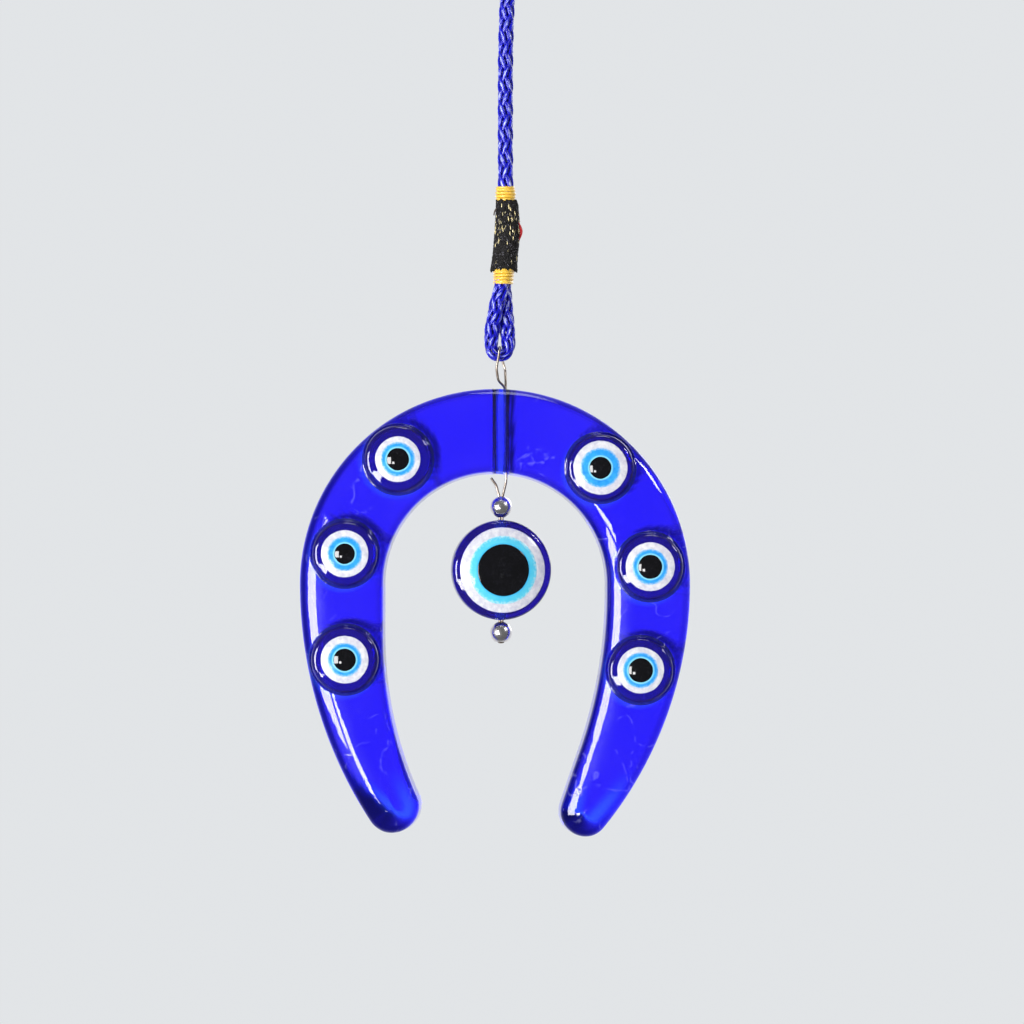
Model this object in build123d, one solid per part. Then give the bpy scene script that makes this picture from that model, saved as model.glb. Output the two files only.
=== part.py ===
from build123d import *

# Evil eye wall ornament: a glass horseshoe with six eye bosses, hung on a wire from a braided cord,
# with an eye bead and two silver beads on the wire below the horseshoe's arch.
# Millimetres. +Z is up and the front faces -Y. The origin is inside the top of the hanging loop,
# where a nail holds the ornament, and X = 0 is the line of the wire.

import math
import os

# ---------------------------------------------------------------- driving dimensions

# Horseshoe glass. The crown is two arcs about one centre, and each limb narrows to a round tip.
CROWN_X, CROWN_Z = -1.2, -156.8
CROWN_OUTER_R, CROWN_INNER_R = 39.1, 21.95
GLASS_THICK = 8.5
FRONT_ROUND, BACK_ROUND = 2.4, 0.8
# side sign: outer arc radius, straight drop inside, inner arc radius, inner bend in degrees, tip radius
LIMBS = {-1: (86.7, 10.6, 76.6, 23.5, 5.6), 1: (77.4, 1.7, 94.9, 18.8, 5.15)}
BORE_R = 1.8

# Eye bosses on the limbs: X, Z, boss radius, white radius, light-blue radius, pupil radius
EYES = {
    "upper_left": (-20.5, -131.9, 6.7, 4.55, 3.45, 2.3),
    "upper_right": (19.8, -133.6, 6.7, 5.4, 4.0, 2.25),
    "middle_left": (-31.1, -150.7, 6.5, 4.75, 3.5, 2.1),
    "middle_right": (29.7, -153.3, 6.6, 4.9, 3.6, 2.45),
    "lower_left": (-31.1, -171.8, 6.7, 4.8, 3.4, 2.3),
    "lower_right": (27.8, -173.9, 6.5, 4.65, 3.6, 2.5),
}
BOSS_HEIGHT, BOSS_CAP_R, BOSS_EDGE_ROUND, BOSS_SUNK = 2.3, 14.0, 1.1, 0.9
LAYER_DEPTH, PUPIL_PROUD = 0.45, 0.35

# Eye bead, a flat round bead with an eye on both faces, found turned a little about the wire
BEAD_Z, BEAD_R, BEAD_THICK, BEAD_CAP_R, BEAD_RIM_ROUND = -154.0, 10.0, 8.2, 21.4, 1.5
BEAD_WHITE_R, BEAD_BLUE_R, BEAD_PUPIL_R = 8.6, 6.85, 5.2
BEAD_HOLE_R, BEAD_TURN = 0.9, 8.0

# Silver beads
SILVER_R, SILVER_HOLE_R = 2.2, 0.72
UPPER_SILVER_Z, LOWER_SILVER_Z = -141.4, -166.5
COUNTERSINK_R, COUNTERSINK_DEPTH = 1.2, 1.1

# Wire, doubled over the cord's eye and through the horseshoe
WIRE_R = 0.25
STRAND = 0.27  # half the spacing of the four strands inside the beads
BULB = 0.5  # half the width of each hairpin that holds the lower bead

# Cord
CORD_R = 1.4
EYE_BAR_Z = -111.3  # centre line at the bottom of the cord's lower eye
CORD_ROUTE = [
    (1.30, 1.60, -86.4),
    (0.60, 1.75, -95.6),
    (1.50, 0.50, -104.3),
    (1.50, 0.00, EYE_BAR_Z),
    (-2.00, 0.00, EYE_BAR_Z),
    (-2.00, -0.50, -104.3),
    (0.50, -1.75, -95.6),
    (1.25, -1.45, -85.6),
    (0.85, -0.10, -78.6),
    (0.95, 0.00, -33.0),
    (5.20, 0.00, -22.0),
    (6.00, 0.00, -9.0),
    (4.90, 0.00, CORD_R),
    (-4.90, 0.00, CORD_R),
    (-6.20, 0.00, -9.0),
    (-5.80, 0.00, -21.5),
    (-2.05, 0.00, -33.0),
    (-2.10, 0.00, -37.8),
]

# Bindings on the cord, each a list of (X, Y, Z, half width, half depth) from top to bottom
BINDINGS = {
    "top_whipping": [
        (-0.55, 0.0, -33.4, 3.3, 1.85),
        (-0.55, 0.0, -35.4, 3.45, 2.0),
        (-0.55, 0.0, -37.4, 3.3, 1.85),
    ],
    "upper_whipping": [
        (0.87, -0.1, -77.3, 1.9, 1.9),
        (0.90, -0.2, -78.7, 2.05, 2.05),
        (0.95, -0.4, -80.1, 1.9, 2.0),
    ],
    "glitter_sleeve": [
        (1.10, -0.5, -80.15, 2.1, 2.2),
        (1.30, -0.4, -83.5, 2.4, 3.0),
        (1.25, 0.0, -87.0, 2.55, 3.4),
        (0.90, 0.0, -90.5, 2.5, 3.5),
        (0.55, 0.0, -94.2, 2.6, 3.5),
    ],
    "lower_whipping": [
        (0.60, 0.0, -94.25, 2.2, 3.4),
        (0.50, 0.0, -95.6, 2.15, 3.4),
        (0.45, 0.0, -96.9, 1.9, 3.25),
    ],
}

FRONT_Y = -GLASS_THICK / 2
LEVEL_TOLERANCE = 1e-4


# ---------------------------------------------------------------- cord and wire


def corner_radii(route, share=0.45, largest=1000.0):
    """The radius of each corner's arc: as large as its two runs allow, up to largest."""
    radii = []
    for a, b, c in zip(route, route[1:], route[2:]):
        first, second = Vector(*b) - Vector(*a), Vector(*c) - Vector(*b)
        half_turn = math.radians(first.get_angle(second)) / 2
        radii.append(min(share * min(first.length, second.length) / math.tan(half_turn), largest))
    return radii


def round_tube(name, route, radius, **limits):
    """A round tube along straight runs joined by tangent arcs."""
    radii = corner_radii(route, **limits)
    path = FilletPolyline(*route, radius=radii)
    section = Plane(path @ 0, z_dir=path % 0) * Circle(radius)
    tube = sweep(section, path=path)
    print(name, "length", round(path.length, 1), "smallest radius", round(min(radii), 2))
    print(name, "radii", [round(r, 1) for r in radii])
    print(name, "volume over section times length", round(tube.volume / (section.area * path.length), 4))
    return tube


def binding(sections, cords):
    """A closed wrap lofted through elliptical sections, with the cords' own holes through it."""
    rings = [Plane((x, y, z)) * Ellipse(a, b) for x, y, z, a, b in sections]
    return loft(rings) - cords


def wire_route():
    """One wire: end, lower beads, bore, over the cord's eye, and the same way back."""
    over = EYE_BAR_Z + CORD_R + WIRE_R + 0.15
    reach = over - EYE_BAR_Z
    glass_below = CROWN_Z + CROWN_INNER_R
    bead_top = UPPER_SILVER_Z + SILVER_R
    turn_z = LOWER_SILVER_Z - SILVER_R + COUNTERSINK_DEPTH

    def below_arch(y, out):
        """From a sprung end under the glass, through the beads, round the hairpin and back up."""
        return [
            (-out, y * 1.4, glass_below - 0.75),
            (-1.0, y * 1.2, glass_below - 2.1),
            (-STRAND, y, bead_top - 0.3),
            (-STRAND, y, turn_z + 0.15),
            (-BULB, y, turn_z - 0.22),
            (-BULB, y, turn_z - 0.82),
            (BULB, y, turn_z - 0.82),
            (BULB, y, turn_z - 0.22),
            (STRAND, y, turn_z + 0.2),
            (STRAND, y, bead_top - 0.35),
            (1.0, y * 1.3, glass_below - 1.6),
            (1.1, y * 1.3, glass_below + 1.2),
            (0.9, y * 1.3, CROWN_Z + CROWN_OUTER_R + 0.2),
        ]

    front = below_arch(-STRAND, 2.0)
    back = below_arch(STRAND, 2.0)
    front_leg = [(-0.55, -1.3, EYE_BAR_Z - 4.9), (-0.9, -reach, EYE_BAR_Z - 2.4), (-0.45, -reach, EYE_BAR_Z + 0.2)]
    back_leg = [(0.95, 1.3, EYE_BAR_Z - 4.9), (0.8, reach, EYE_BAR_Z - 2.4), (-0.05, reach, EYE_BAR_Z + 0.2)]
    top = [(-0.3, -reach, over), (-0.2, reach, over)]
    return front + front_leg + top + back_leg[::-1] + back[::-1]


# ---------------------------------------------------------------- horseshoe


def limb_edges(side):
    """A limb's outline from the crown's outer end down round the tip to the crown's inner end."""
    outer_r, drop, inner_r, bend, tip_r = LIMBS[side]
    bend = math.radians(bend)

    def place(u, v):
        return Vector(CROWN_X + side * u, 0, CROWN_Z + v)

    def on_outer(angle):
        return CROWN_OUTER_R - outer_r + outer_r * math.cos(angle), -outer_r * math.sin(angle)

    def on_inner(angle):
        return CROWN_INNER_R - inner_r + inner_r * math.cos(angle), -drop - inner_r * math.sin(angle)

    # The tip's centre is tip_r inside the outer arc and tip_r outside the inner straight
    along = Vector(-math.sin(bend), -math.cos(bend))
    outward = Vector(math.cos(bend), -math.sin(bend))
    outer_centre = Vector(CROWN_OUTER_R - outer_r, 0)
    start = Vector(*on_inner(bend)) + outward * tip_r
    away = start - outer_centre
    half = -away.dot(along)
    reach = half + math.sqrt(half**2 - away.dot(away) + (outer_r - tip_r) ** 2)
    tip = start + along * reach
    to_outer = (tip - outer_centre).normalized()
    outer_end = outer_centre + to_outer * outer_r
    inner_end = tip - outward * tip_r
    lowest = tip + (to_outer - outward + along * 2).normalized() * tip_r

    end_angle = math.atan2(-to_outer.Y, to_outer.X)
    edges = [
        ThreePointArc(place(*on_outer(0)), place(*on_outer(end_angle / 2)), place(outer_end.X, outer_end.Y)),
        ThreePointArc(
            place(outer_end.X, outer_end.Y), place(lowest.X, lowest.Y), place(inner_end.X, inner_end.Y)
        ),
        Line(place(inner_end.X, inner_end.Y), place(*on_inner(bend))),
        ThreePointArc(place(*on_inner(bend)), place(*on_inner(bend / 2)), place(*on_inner(0))),
        Line(place(*on_inner(0)), place(CROWN_INNER_R, 0)),
    ]
    return edges


def crown_arc(radius):
    return ThreePointArc(
        (CROWN_X - radius, 0, CROWN_Z), (CROWN_X, 0, CROWN_Z + radius), (CROWN_X + radius, 0, CROWN_Z)
    )


def horseshoe_blank():
    edges = [crown_arc(CROWN_OUTER_R), *limb_edges(1), crown_arc(CROWN_INNER_R), *limb_edges(-1)]
    outline = make_face(edges)
    blank = extrude(outline, amount=GLASS_THICK / 2, dir=(0, 1, 0), both=True)
    blank = fillet(edges_level(blank, Axis.Y, FRONT_Y), FRONT_ROUND)
    blank = fillet(edges_level(blank, Axis.Y, -FRONT_Y), BACK_ROUND)
    bore = Pos(0, 0, CROWN_Z + (CROWN_OUTER_R + CROWN_INNER_R) / 2) * Cylinder(BORE_R, 30)
    return blank - bore


# ---------------------------------------------------------------- layered eyes


def edges_level(shape, axis, level):
    """The edges that lie wholly at one level along an axis."""
    return shape.edges().filter_by_position(axis, level - LEVEL_TOLERANCE, level + LEVEL_TOLERANCE)


def cap_height(r, height, cap_r):
    """Height of a spherical cap at r from its axis."""
    return height - cap_r + math.sqrt(cap_r**2 - r**2)


def spun(points, dome=None):
    """A solid of revolution about +Z from (r, height) points, with dome's arc over its last side."""
    corners = [(r, 0, h) for r, h in points]
    lines = Polyline(*corners) if dome else Polyline(*corners, corners[0])
    edges = [lines]
    if dome:
        edges.append(ThreePointArc(corners[-1], (dome[0], 0, dome[1]), corners[0]))
    return revolve(make_face(edges), Axis.Z)


def eye_layers(white_r, blue_r, pupil_r, height, cap_r, proud):
    """White, light-blue and pupil layers set one in the next, flush with a domed face that looks along +Z."""

    def cap(r):
        return cap_height(r, height, cap_r)

    pupil_floor = cap(pupil_r) - LAYER_DEPTH
    blue_floor = min(pupil_floor, cap(blue_r)) - LAYER_DEPTH
    white_floor = min(blue_floor, cap(white_r)) - LAYER_DEPTH

    def cup(r_in, floor_in, r_out, floor_out):
        points = [
            (r_in, cap(r_in)),
            (r_in, floor_in),
            (0, floor_in),
            (0, floor_out),
            (r_out, floor_out),
            (r_out, cap(r_out)),
        ]
        middle = (r_in + r_out) / 2
        return spun(points, dome=(middle, cap(middle)))

    pupil_top = cap(0) + proud
    rise = pupil_top - cap(pupil_r)
    pupil_cap_r = (pupil_r**2 + rise**2) / (2 * rise)
    pupil = spun(
        [(0, pupil_top), (0, pupil_floor), (pupil_r, pupil_floor), (pupil_r, cap(pupil_r))],
        dome=(pupil_r / 2, cap_height(pupil_r / 2, pupil_top, pupil_cap_r)),
    )
    return {
        "white": cup(blue_r, blue_floor, white_r, white_floor),
        "blue": cup(pupil_r, pupil_floor, blue_r, blue_floor),
        "pupil": pupil,
    }


def domed_disc(radius, height, cap_r, base, edge_round):
    """A round disc with a domed top, its top edge rounded, standing on a flat base."""
    edge = cap_height(radius, height, cap_r)
    middle = (radius / 2, cap_height(radius / 2, height, cap_r))
    disc = spun([(0, height), (0, base), (radius, base), (radius, edge)], dome=middle)
    return fillet(edges_level(disc, Axis.Z, edge), edge_round)


def facing_front(x, y, z):
    """Turns +Z to -Y, for an eye that faces the front at (x, y, z)."""
    return Pos(x, y, z) * Rot(X=90)


def boss_parts(boss_r, white_r, blue_r, pupil_r):
    layers = eye_layers(white_r, blue_r, pupil_r, BOSS_HEIGHT, BOSS_CAP_R, PUPIL_PROUD)
    boss = domed_disc(boss_r, BOSS_HEIGHT, BOSS_CAP_R, -BOSS_SUNK, BOSS_EDGE_ROUND)
    for layer in layers.values():
        boss -= layer
    return {"boss": boss, **layers}


# ---------------------------------------------------------------- beads


def eye_bead_parts():
    half = BEAD_THICK / 2
    layers = eye_layers(BEAD_WHITE_R, BEAD_BLUE_R, BEAD_PUPIL_R, half, BEAD_CAP_R, 0.12)
    front_half = domed_disc(BEAD_R, half, BEAD_CAP_R, 0, BEAD_RIM_ROUND)
    glass = front_half + Rot(X=180) * front_half
    glass -= Rot(X=90) * Cylinder(BEAD_HOLE_R, 3 * BEAD_R)
    parts = {f"front_{name}": layer for name, layer in layers.items()}
    parts.update({f"back_{name}": Rot(X=180) * layer for name, layer in layers.items()})
    for layer in parts.values():
        glass -= layer
    parts["glass"] = glass
    seat = Pos(0, 0, BEAD_Z) * Rot(Z=BEAD_TURN) * Rot(X=90)
    return {name: seat * part for name, part in parts.items()}


def silver_bead(z, sunk=False):
    bead = Sphere(SILVER_R) - Cylinder(SILVER_HOLE_R, 3 * SILVER_R)
    if sunk:
        bead -= Pos(0, 0, -SILVER_R) * Cylinder(COUNTERSINK_R, 2 * COUNTERSINK_DEPTH)
    return Pos(0, 0, z) * bead


# ---------------------------------------------------------------- build and write

nodes = {}

cord = round_tube("braided_cord", CORD_ROUTE, CORD_R)
nodes["braided_cord"] = cord
for name, sections in BINDINGS.items():
    nodes[name] = binding(sections, cord)

red_route = [(3.45, -1.3, -84.8), (3.95, -1.5, -85.9), (4.0, -1.2, -86.9), (3.6, -0.9, -87.8)]
brown_route = [(-0.95, -2.2, -81.6), (-1.4, -2.4, -82.3), (-1.35, -2.5, -83.2)]
for name, route, radius in (("red_thread_end", red_route, 0.3), ("brown_thread_end", brown_route, 0.18)):
    nodes[name] = round_tube(name, route, radius) - nodes["glitter_sleeve"]

nodes["hanger_wire"] = round_tube("hanger_wire", wire_route(), WIRE_R, largest=2.0)

horseshoe = horseshoe_blank()
for place, (x, z, *radii) in EYES.items():
    seat = facing_front(x, FRONT_Y, z)
    for layer, part in boss_parts(*radii).items():
        nodes[f"{place}_{layer}"] = seat * part
    horseshoe -= seat * Pos(0, 0, -BOSS_SUNK) * Cylinder(
        radii[0], 2 * BOSS_HEIGHT + BOSS_SUNK, align=(Align.CENTER, Align.CENTER, Align.MIN)
    )
nodes["horseshoe_glass"] = horseshoe

for layer, part in eye_bead_parts().items():
    nodes[f"eye_bead_{layer}"] = part
nodes["upper_silver_bead"] = silver_bead(UPPER_SILVER_Z)
nodes["lower_silver_bead"] = silver_bead(LOWER_SILVER_Z, sunk=True)

os.makedirs("parts", exist_ok=True)
for name, shape in nodes.items():
    export_step(shape, f"parts/{name}.step")
print(len(nodes), "nodes")
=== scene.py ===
import math
import random

import bmesh
import bpy
import numpy as np
from mathutils import Matrix, Vector, noise


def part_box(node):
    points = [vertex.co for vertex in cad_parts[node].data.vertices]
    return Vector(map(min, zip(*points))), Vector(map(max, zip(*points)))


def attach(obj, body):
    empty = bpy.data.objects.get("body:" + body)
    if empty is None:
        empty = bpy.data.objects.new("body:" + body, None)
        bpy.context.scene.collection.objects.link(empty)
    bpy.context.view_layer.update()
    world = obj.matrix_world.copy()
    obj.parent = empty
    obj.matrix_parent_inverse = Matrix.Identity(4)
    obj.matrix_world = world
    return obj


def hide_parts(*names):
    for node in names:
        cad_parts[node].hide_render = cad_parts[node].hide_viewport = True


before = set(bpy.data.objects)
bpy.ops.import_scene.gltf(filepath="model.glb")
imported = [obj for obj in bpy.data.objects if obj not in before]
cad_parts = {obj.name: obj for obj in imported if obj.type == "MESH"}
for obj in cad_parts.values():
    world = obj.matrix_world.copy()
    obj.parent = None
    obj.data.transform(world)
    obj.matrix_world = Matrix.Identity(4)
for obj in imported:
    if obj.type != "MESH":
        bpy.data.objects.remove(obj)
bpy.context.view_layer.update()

# Evil eye ornament. Metres. +Z is up and the front faces -Y. X = 0 is the line of the wire.

MM = 0.001

# ---------------------------------------------------------------- shader helpers


class Shader:
    """Builds nodes in a tree with few words."""

    def __init__(self, tree):
        self.tree = tree

    def add(self, kind, settings=None, **values):
        node = self.tree.nodes.new("ShaderNode" + kind)
        for key, value in (settings or {}).items():
            setattr(node, key, value)
        for key, value in values.items():
            self.feed(node.inputs[key.replace("_", " ")], value)
        return node

    def feed(self, socket, value):
        if isinstance(value, bpy.types.NodeSocket):
            self.tree.links.new(value, socket)
        else:
            socket.default_value = value

    def maths(self, operation, first, second=0.0, third=0.0, clamp=False):
        node = self.add("Math", {"operation": operation, "use_clamp": clamp})
        for socket, value in zip(node.inputs, (first, second, third)):
            self.feed(socket, value)
        return node.outputs[0]

    def span(self, value, low, high, to_low=0.0, to_high=1.0, soft=True):
        node = self.add("MapRange", {"interpolation_type": "SMOOTHSTEP" if soft else "LINEAR"})
        for name, x in (
            ("Value", value), ("From Min", low), ("From Max", high), ("To Min", to_low), ("To Max", to_high),
        ):
            self.feed(node.inputs[name], x)
        return node.outputs["Result"]

    def blend(self, factor, first, second):
        node = self.add("Mix", {"data_type": "RGBA"})
        self.feed(node.inputs[0], factor)
        self.feed(node.inputs[6], first)
        self.feed(node.inputs[7], second)
        return node.outputs[2]

    def bump(self, height, distance, strength=1.0):
        node = self.add("Bump", Height=height, Distance=distance, Strength=strength)
        return node.outputs["Normal"]

    def stretched(self, vector, scale):
        return self.add("Mapping", Vector=vector, Scale=scale).outputs[0]


def group_tree(name, ins, outs):
    """A new shader group with these inputs, as (name, type, value), and outputs, as (name, type)."""
    tree = bpy.data.node_groups.new(name, "ShaderNodeTree")
    for label, kind, value in ins:
        socket = tree.interface.new_socket(name=label, in_out="INPUT", socket_type="NodeSocket" + kind)
        if value is not None:
            socket.default_value = value
    for label, kind in outs:
        tree.interface.new_socket(name=label, in_out="OUTPUT", socket_type="NodeSocket" + kind)
    shader = Shader(tree)
    return tree, shader, tree.nodes.new("NodeGroupInput").outputs, tree.nodes.new("NodeGroupOutput").inputs


def make_mottle():
    """Two colours mixed by a soft cloud, with fine specks on top."""
    tree, s, ins, outs = group_tree(
        "mottle",
        [("Vector", "Vector", None), ("Scale", "Float", 300.0), ("Contrast", "Float", 0.5),
         ("First", "Color", (1, 1, 1, 1)), ("Second", "Color", (0, 0, 0, 1))],
        [("Color", "Color"), ("Mask", "Float")],
    )
    cloud = s.add("TexNoise", Vector=ins["Vector"], Scale=ins["Scale"], Detail=4.0, Roughness=0.65)
    low = s.maths("MULTIPLY", ins["Contrast"], 0.5)
    mask = s.span(cloud.outputs["Fac"], s.maths("SUBTRACT", 0.5, low), s.maths("ADD", 0.5, low))
    s.feed(outs["Color"], s.blend(mask, ins["First"], ins["Second"]))
    s.feed(outs["Mask"], mask)
    return tree


def make_scratches():
    """A mask of fine bent scratches that keep to a few worn patches."""
    tree, s, ins, outs = group_tree(
        "fine_scratches",
        [("Vector", "Vector", None), ("Scale", "Float", 60.0), ("Width", "Float", 0.02), ("Cover", "Float", 0.5)],
        [("Mask", "Float")],
    )
    bend = s.add("TexNoise", Vector=ins["Vector"], Scale=s.maths("MULTIPLY", ins["Scale"], 1.3), Detail=2.0)
    centred = s.add("VectorMath", {"operation": "SUBTRACT"})
    s.feed(centred.inputs[0], bend.outputs["Color"])
    centred.inputs[1].default_value = (0.5, 0.5, 0.5)
    small = s.add("VectorMath", {"operation": "SCALE"})
    s.feed(small.inputs[0], centred.outputs[0])
    small.inputs["Scale"].default_value = 0.012
    moved = s.add("VectorMath", {"operation": "ADD"})
    s.feed(moved.inputs[0], ins["Vector"])
    s.feed(moved.inputs[1], small.outputs[0])
    cells = s.add("TexVoronoi", {"feature": "DISTANCE_TO_EDGE"}, Vector=moved.outputs[0], Scale=ins["Scale"])
    line = s.span(cells.outputs["Distance"], 0.0, ins["Width"], 1.0, 0.0)
    broken = s.add("TexNoise", Vector=ins["Vector"], Scale=s.maths("MULTIPLY", ins["Scale"], 6.0), Detail=1.0)
    patch = s.add("TexNoise", Vector=ins["Vector"], Scale=s.maths("MULTIPLY", ins["Scale"], 0.9), Detail=1.0)
    edge = s.maths("SUBTRACT", 0.72, s.maths("MULTIPLY", ins["Cover"], 0.3))
    worn = s.span(patch.outputs["Fac"], edge, s.maths("ADD", edge, 0.08))
    kept = s.span(broken.outputs["Fac"], 0.42, 0.55)
    s.feed(outs["Mask"], s.maths("MULTIPLY", s.maths("MULTIPLY", line, worn), kept))
    return tree


def make_fibres():
    """Fine filaments that run along a strand: height and a light or dark mask, from the strand's own map."""
    tree, s, ins, outs = group_tree(
        "filaments",
        [("Vector", "Vector", None), ("Across", "Float", 9.0), ("Along", "Float", 400.0)],
        [("Height", "Float"), ("Mask", "Float")],
    )
    parts = s.add("SeparateXYZ", Vector=ins["Vector"])
    joined_up = s.add("CombineXYZ")
    s.feed(joined_up.inputs[0], s.maths("MULTIPLY", parts.outputs[0], ins["Across"]))
    s.feed(joined_up.inputs[1], s.maths("MULTIPLY", parts.outputs[1], ins["Along"]))
    s.feed(joined_up.inputs[2], parts.outputs[2])
    threads = s.add("TexNoise", Vector=joined_up.outputs[0], Scale=3.0, Detail=3.0, Roughness=0.6)
    s.feed(outs["Height"], threads.outputs["Fac"])
    s.feed(outs["Mask"], s.span(threads.outputs["Fac"], 0.36, 0.66))
    return tree


MOTTLE, SCRATCHES, FIBRES = make_mottle(), make_scratches(), make_fibres()


def finish_of(name, **plain):
    """A material with its Principled shader's plain values set, and helpers to add nodes to it."""
    material = bpy.data.materials.new(name)
    material.use_nodes = True
    shader = material.node_tree.nodes["Principled BSDF"]
    for key, value in plain.items():
        shader.inputs[key.replace("_", " ")].default_value = value
    s = Shader(material.node_tree)
    return material, shader.inputs, s, s.add("TexCoord").outputs["Object"]


def fac_of(s, name):
    """The number that a mesh stores at its points under this name."""
    return s.add("Attribute", {"attribute_name": name}).outputs["Fac"]


def use_group(s, tree, **values):
    """The outputs of a shader group with these inputs."""
    node = s.add("Group", {"node_tree": tree})
    for key, value in values.items():
        s.feed(node.inputs[key], value)
    return node.outputs


def absorb(material, colour, density):
    """Colours the inside of closed glass: light that goes further through it comes out deeper."""
    tree = material.node_tree
    volume = tree.nodes.new("ShaderNodeVolumeAbsorption")
    volume.inputs["Color"].default_value = colour
    volume.inputs["Density"].default_value = density
    tree.links.new(volume.outputs[0], tree.nodes["Material Output"].inputs["Volume"])


# ---------------------------------------------------------------- camera and studio

VIEW_X, VIEW_Z, VIEW_WIDTH = 2.2 * MM, -142.4 * MM, 204.8 * MM
CAMERA_AWAY = 1.2
SENSOR_WIDTH = 36.0
LIGHT_TARGET = (0, 0, -0.155)
SOFT_LIGHTS = {  # place, width, height and power
    "window_left": ((-0.51, -0.56, -0.19), 0.34, 0.34, 7.4),
    "lamp_left": ((-0.30, -0.80, -0.34), 0.13, 0.13, 1.2),
    "lamp_right": ((0.72, -0.42, 0.34), 0.18, 0.18, 2.4),
    "fill_top": ((0.10, -0.16, 0.85), 0.40, 0.30, 1.8),
    "fill_behind": ((0.45, 0.75, 0.15), 0.50, 0.50, 1.8),
}
BACKDROP = (0.76, 0.78, 0.80, 1)
ROOM_LIGHT, ROOM_IN_FRONT, ROOM_BEHIND = (0.96, 0.98, 1.0, 1), 0.15, 0.9
LIGHT_THROUGH_GLASS = 1.05


def aimed(name, data, place, target):
    obj = bpy.data.objects.new(name, data)
    bpy.context.scene.collection.objects.link(obj)
    obj.location = place
    obj.rotation_euler = (Vector(target) - Vector(place)).to_track_quat("-Z", "Y").to_euler()
    return obj


def make_camera():
    data = bpy.data.cameras.new("camera")
    data.sensor_width = SENSOR_WIDTH
    data.lens = SENSOR_WIDTH * CAMERA_AWAY / VIEW_WIDTH
    data.clip_start, data.clip_end = 0.05, 20.0
    camera = aimed("camera", data, (VIEW_X, -CAMERA_AWAY, VIEW_Z), (VIEW_X, 0, VIEW_Z))
    bpy.context.scene.camera = camera


def soft_light(name, place, width, height, power):
    data = bpy.data.lights.new(name, "AREA")
    data.shape = "RECTANGLE"
    data.size, data.size_y = width, height
    data.energy = power
    light = aimed(name, data, place, LIGHT_TARGET)
    light.visible_camera = False
    return light


def make_world():
    """A plain backdrop, a room that is dim in front of the object and bright behind it, and white through glass."""
    world = bpy.data.worlds.new("studio")
    bpy.context.scene.world = world
    world.use_nodes = True
    world.node_tree.nodes.clear()
    s = Shader(world.node_tree)
    ahead = s.add("SeparateXYZ", Vector=s.add("TexCoord").outputs["Generated"]).outputs["Y"]
    strength = s.span(ahead, -0.2, 0.8, ROOM_IN_FRONT, ROOM_BEHIND)
    room = s.add("Background", Color=ROOM_LIGHT, Strength=strength)
    through = s.add("Background", Color=(1.0, 1.0, 1.0, 1), Strength=LIGHT_THROUGH_GLASS)
    backdrop = s.add("Background", Color=BACKDROP)
    ray = s.add("LightPath").outputs
    glass_mix, mix = s.add("MixShader"), s.add("MixShader")
    for node, share, first, second in (
        (glass_mix, "Is Transmission Ray", room, through), (mix, "Is Camera Ray", glass_mix, backdrop),
    ):
        for socket, source in zip(node.inputs, (ray[share], first.outputs[0], second.outputs[0])):
            s.feed(socket, source)
    s.feed(s.add("OutputWorld").inputs["Surface"], mix.outputs[0])


def make_studio():
    for name, setting in SOFT_LIGHTS.items():
        light = soft_light(name, *setting)
        light.visible_transmission = name != "fill_behind"
    make_world()
    bpy.context.scene.view_settings.view_transform = "Standard"


make_camera()
make_studio()


# ---------------------------------------------------------------- mesh helpers


def piece(name, verts, faces, material, body):
    """A closed mesh with its place in its points, outward faces, one finish, riding on a body."""
    data = bpy.data.meshes.new(name)
    data.from_pydata([tuple(v) for v in verts], [], [tuple(f) for f in faces])
    work = bmesh.new()
    work.from_mesh(data)
    bmesh.ops.remove_doubles(work, verts=work.verts, dist=2e-7)
    bmesh.ops.dissolve_degenerate(work, edges=work.edges, dist=1e-8)
    bmesh.ops.recalc_face_normals(work, faces=work.faces)
    work.to_mesh(data)
    work.free()
    return placed(name, data, material, body)


def placed(name, data, material, body):
    """The mesh as a smooth visible piece with one finish, riding on a body."""
    data.shade_smooth()
    data.materials.clear()
    data.materials.append(material)
    obj = bpy.data.objects.new(name, data)
    bpy.context.scene.collection.objects.link(obj)
    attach(obj, body)
    return obj


def bare_object(data):
    """An object that only serves to make another one's mesh."""
    obj = bpy.data.objects.new("base", data)
    bpy.context.scene.collection.objects.link(obj)
    return obj


def ring_faces(rings, around, closed_ends=True):
    """Quads between rings of points, and a face over each end ring when the ends are closed."""
    faces = []
    for k in range(rings - 1):
        for i in range(around):
            j = (i + 1) % around
            a, b = k * around, (k + 1) * around
            faces.append((a + i, a + j, b + j, b + i))
    if closed_ends:
        faces.append(tuple(range(around))[::-1])
        faces.append(tuple(range((rings - 1) * around, rings * around)))
    return faces


HOLE_CREASE = 40  # degrees


def crease_sharp(data, degrees):
    """Marks the edges that turn more than this as sharp, so that the rest shades smoothly."""
    work = bmesh.new()
    work.from_mesh(data)
    limit = math.radians(degrees)
    for edge in work.edges:
        edge.smooth = edge.is_manifold and edge.calc_face_angle(0) < limit
    work.to_mesh(data)
    work.free()


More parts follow.
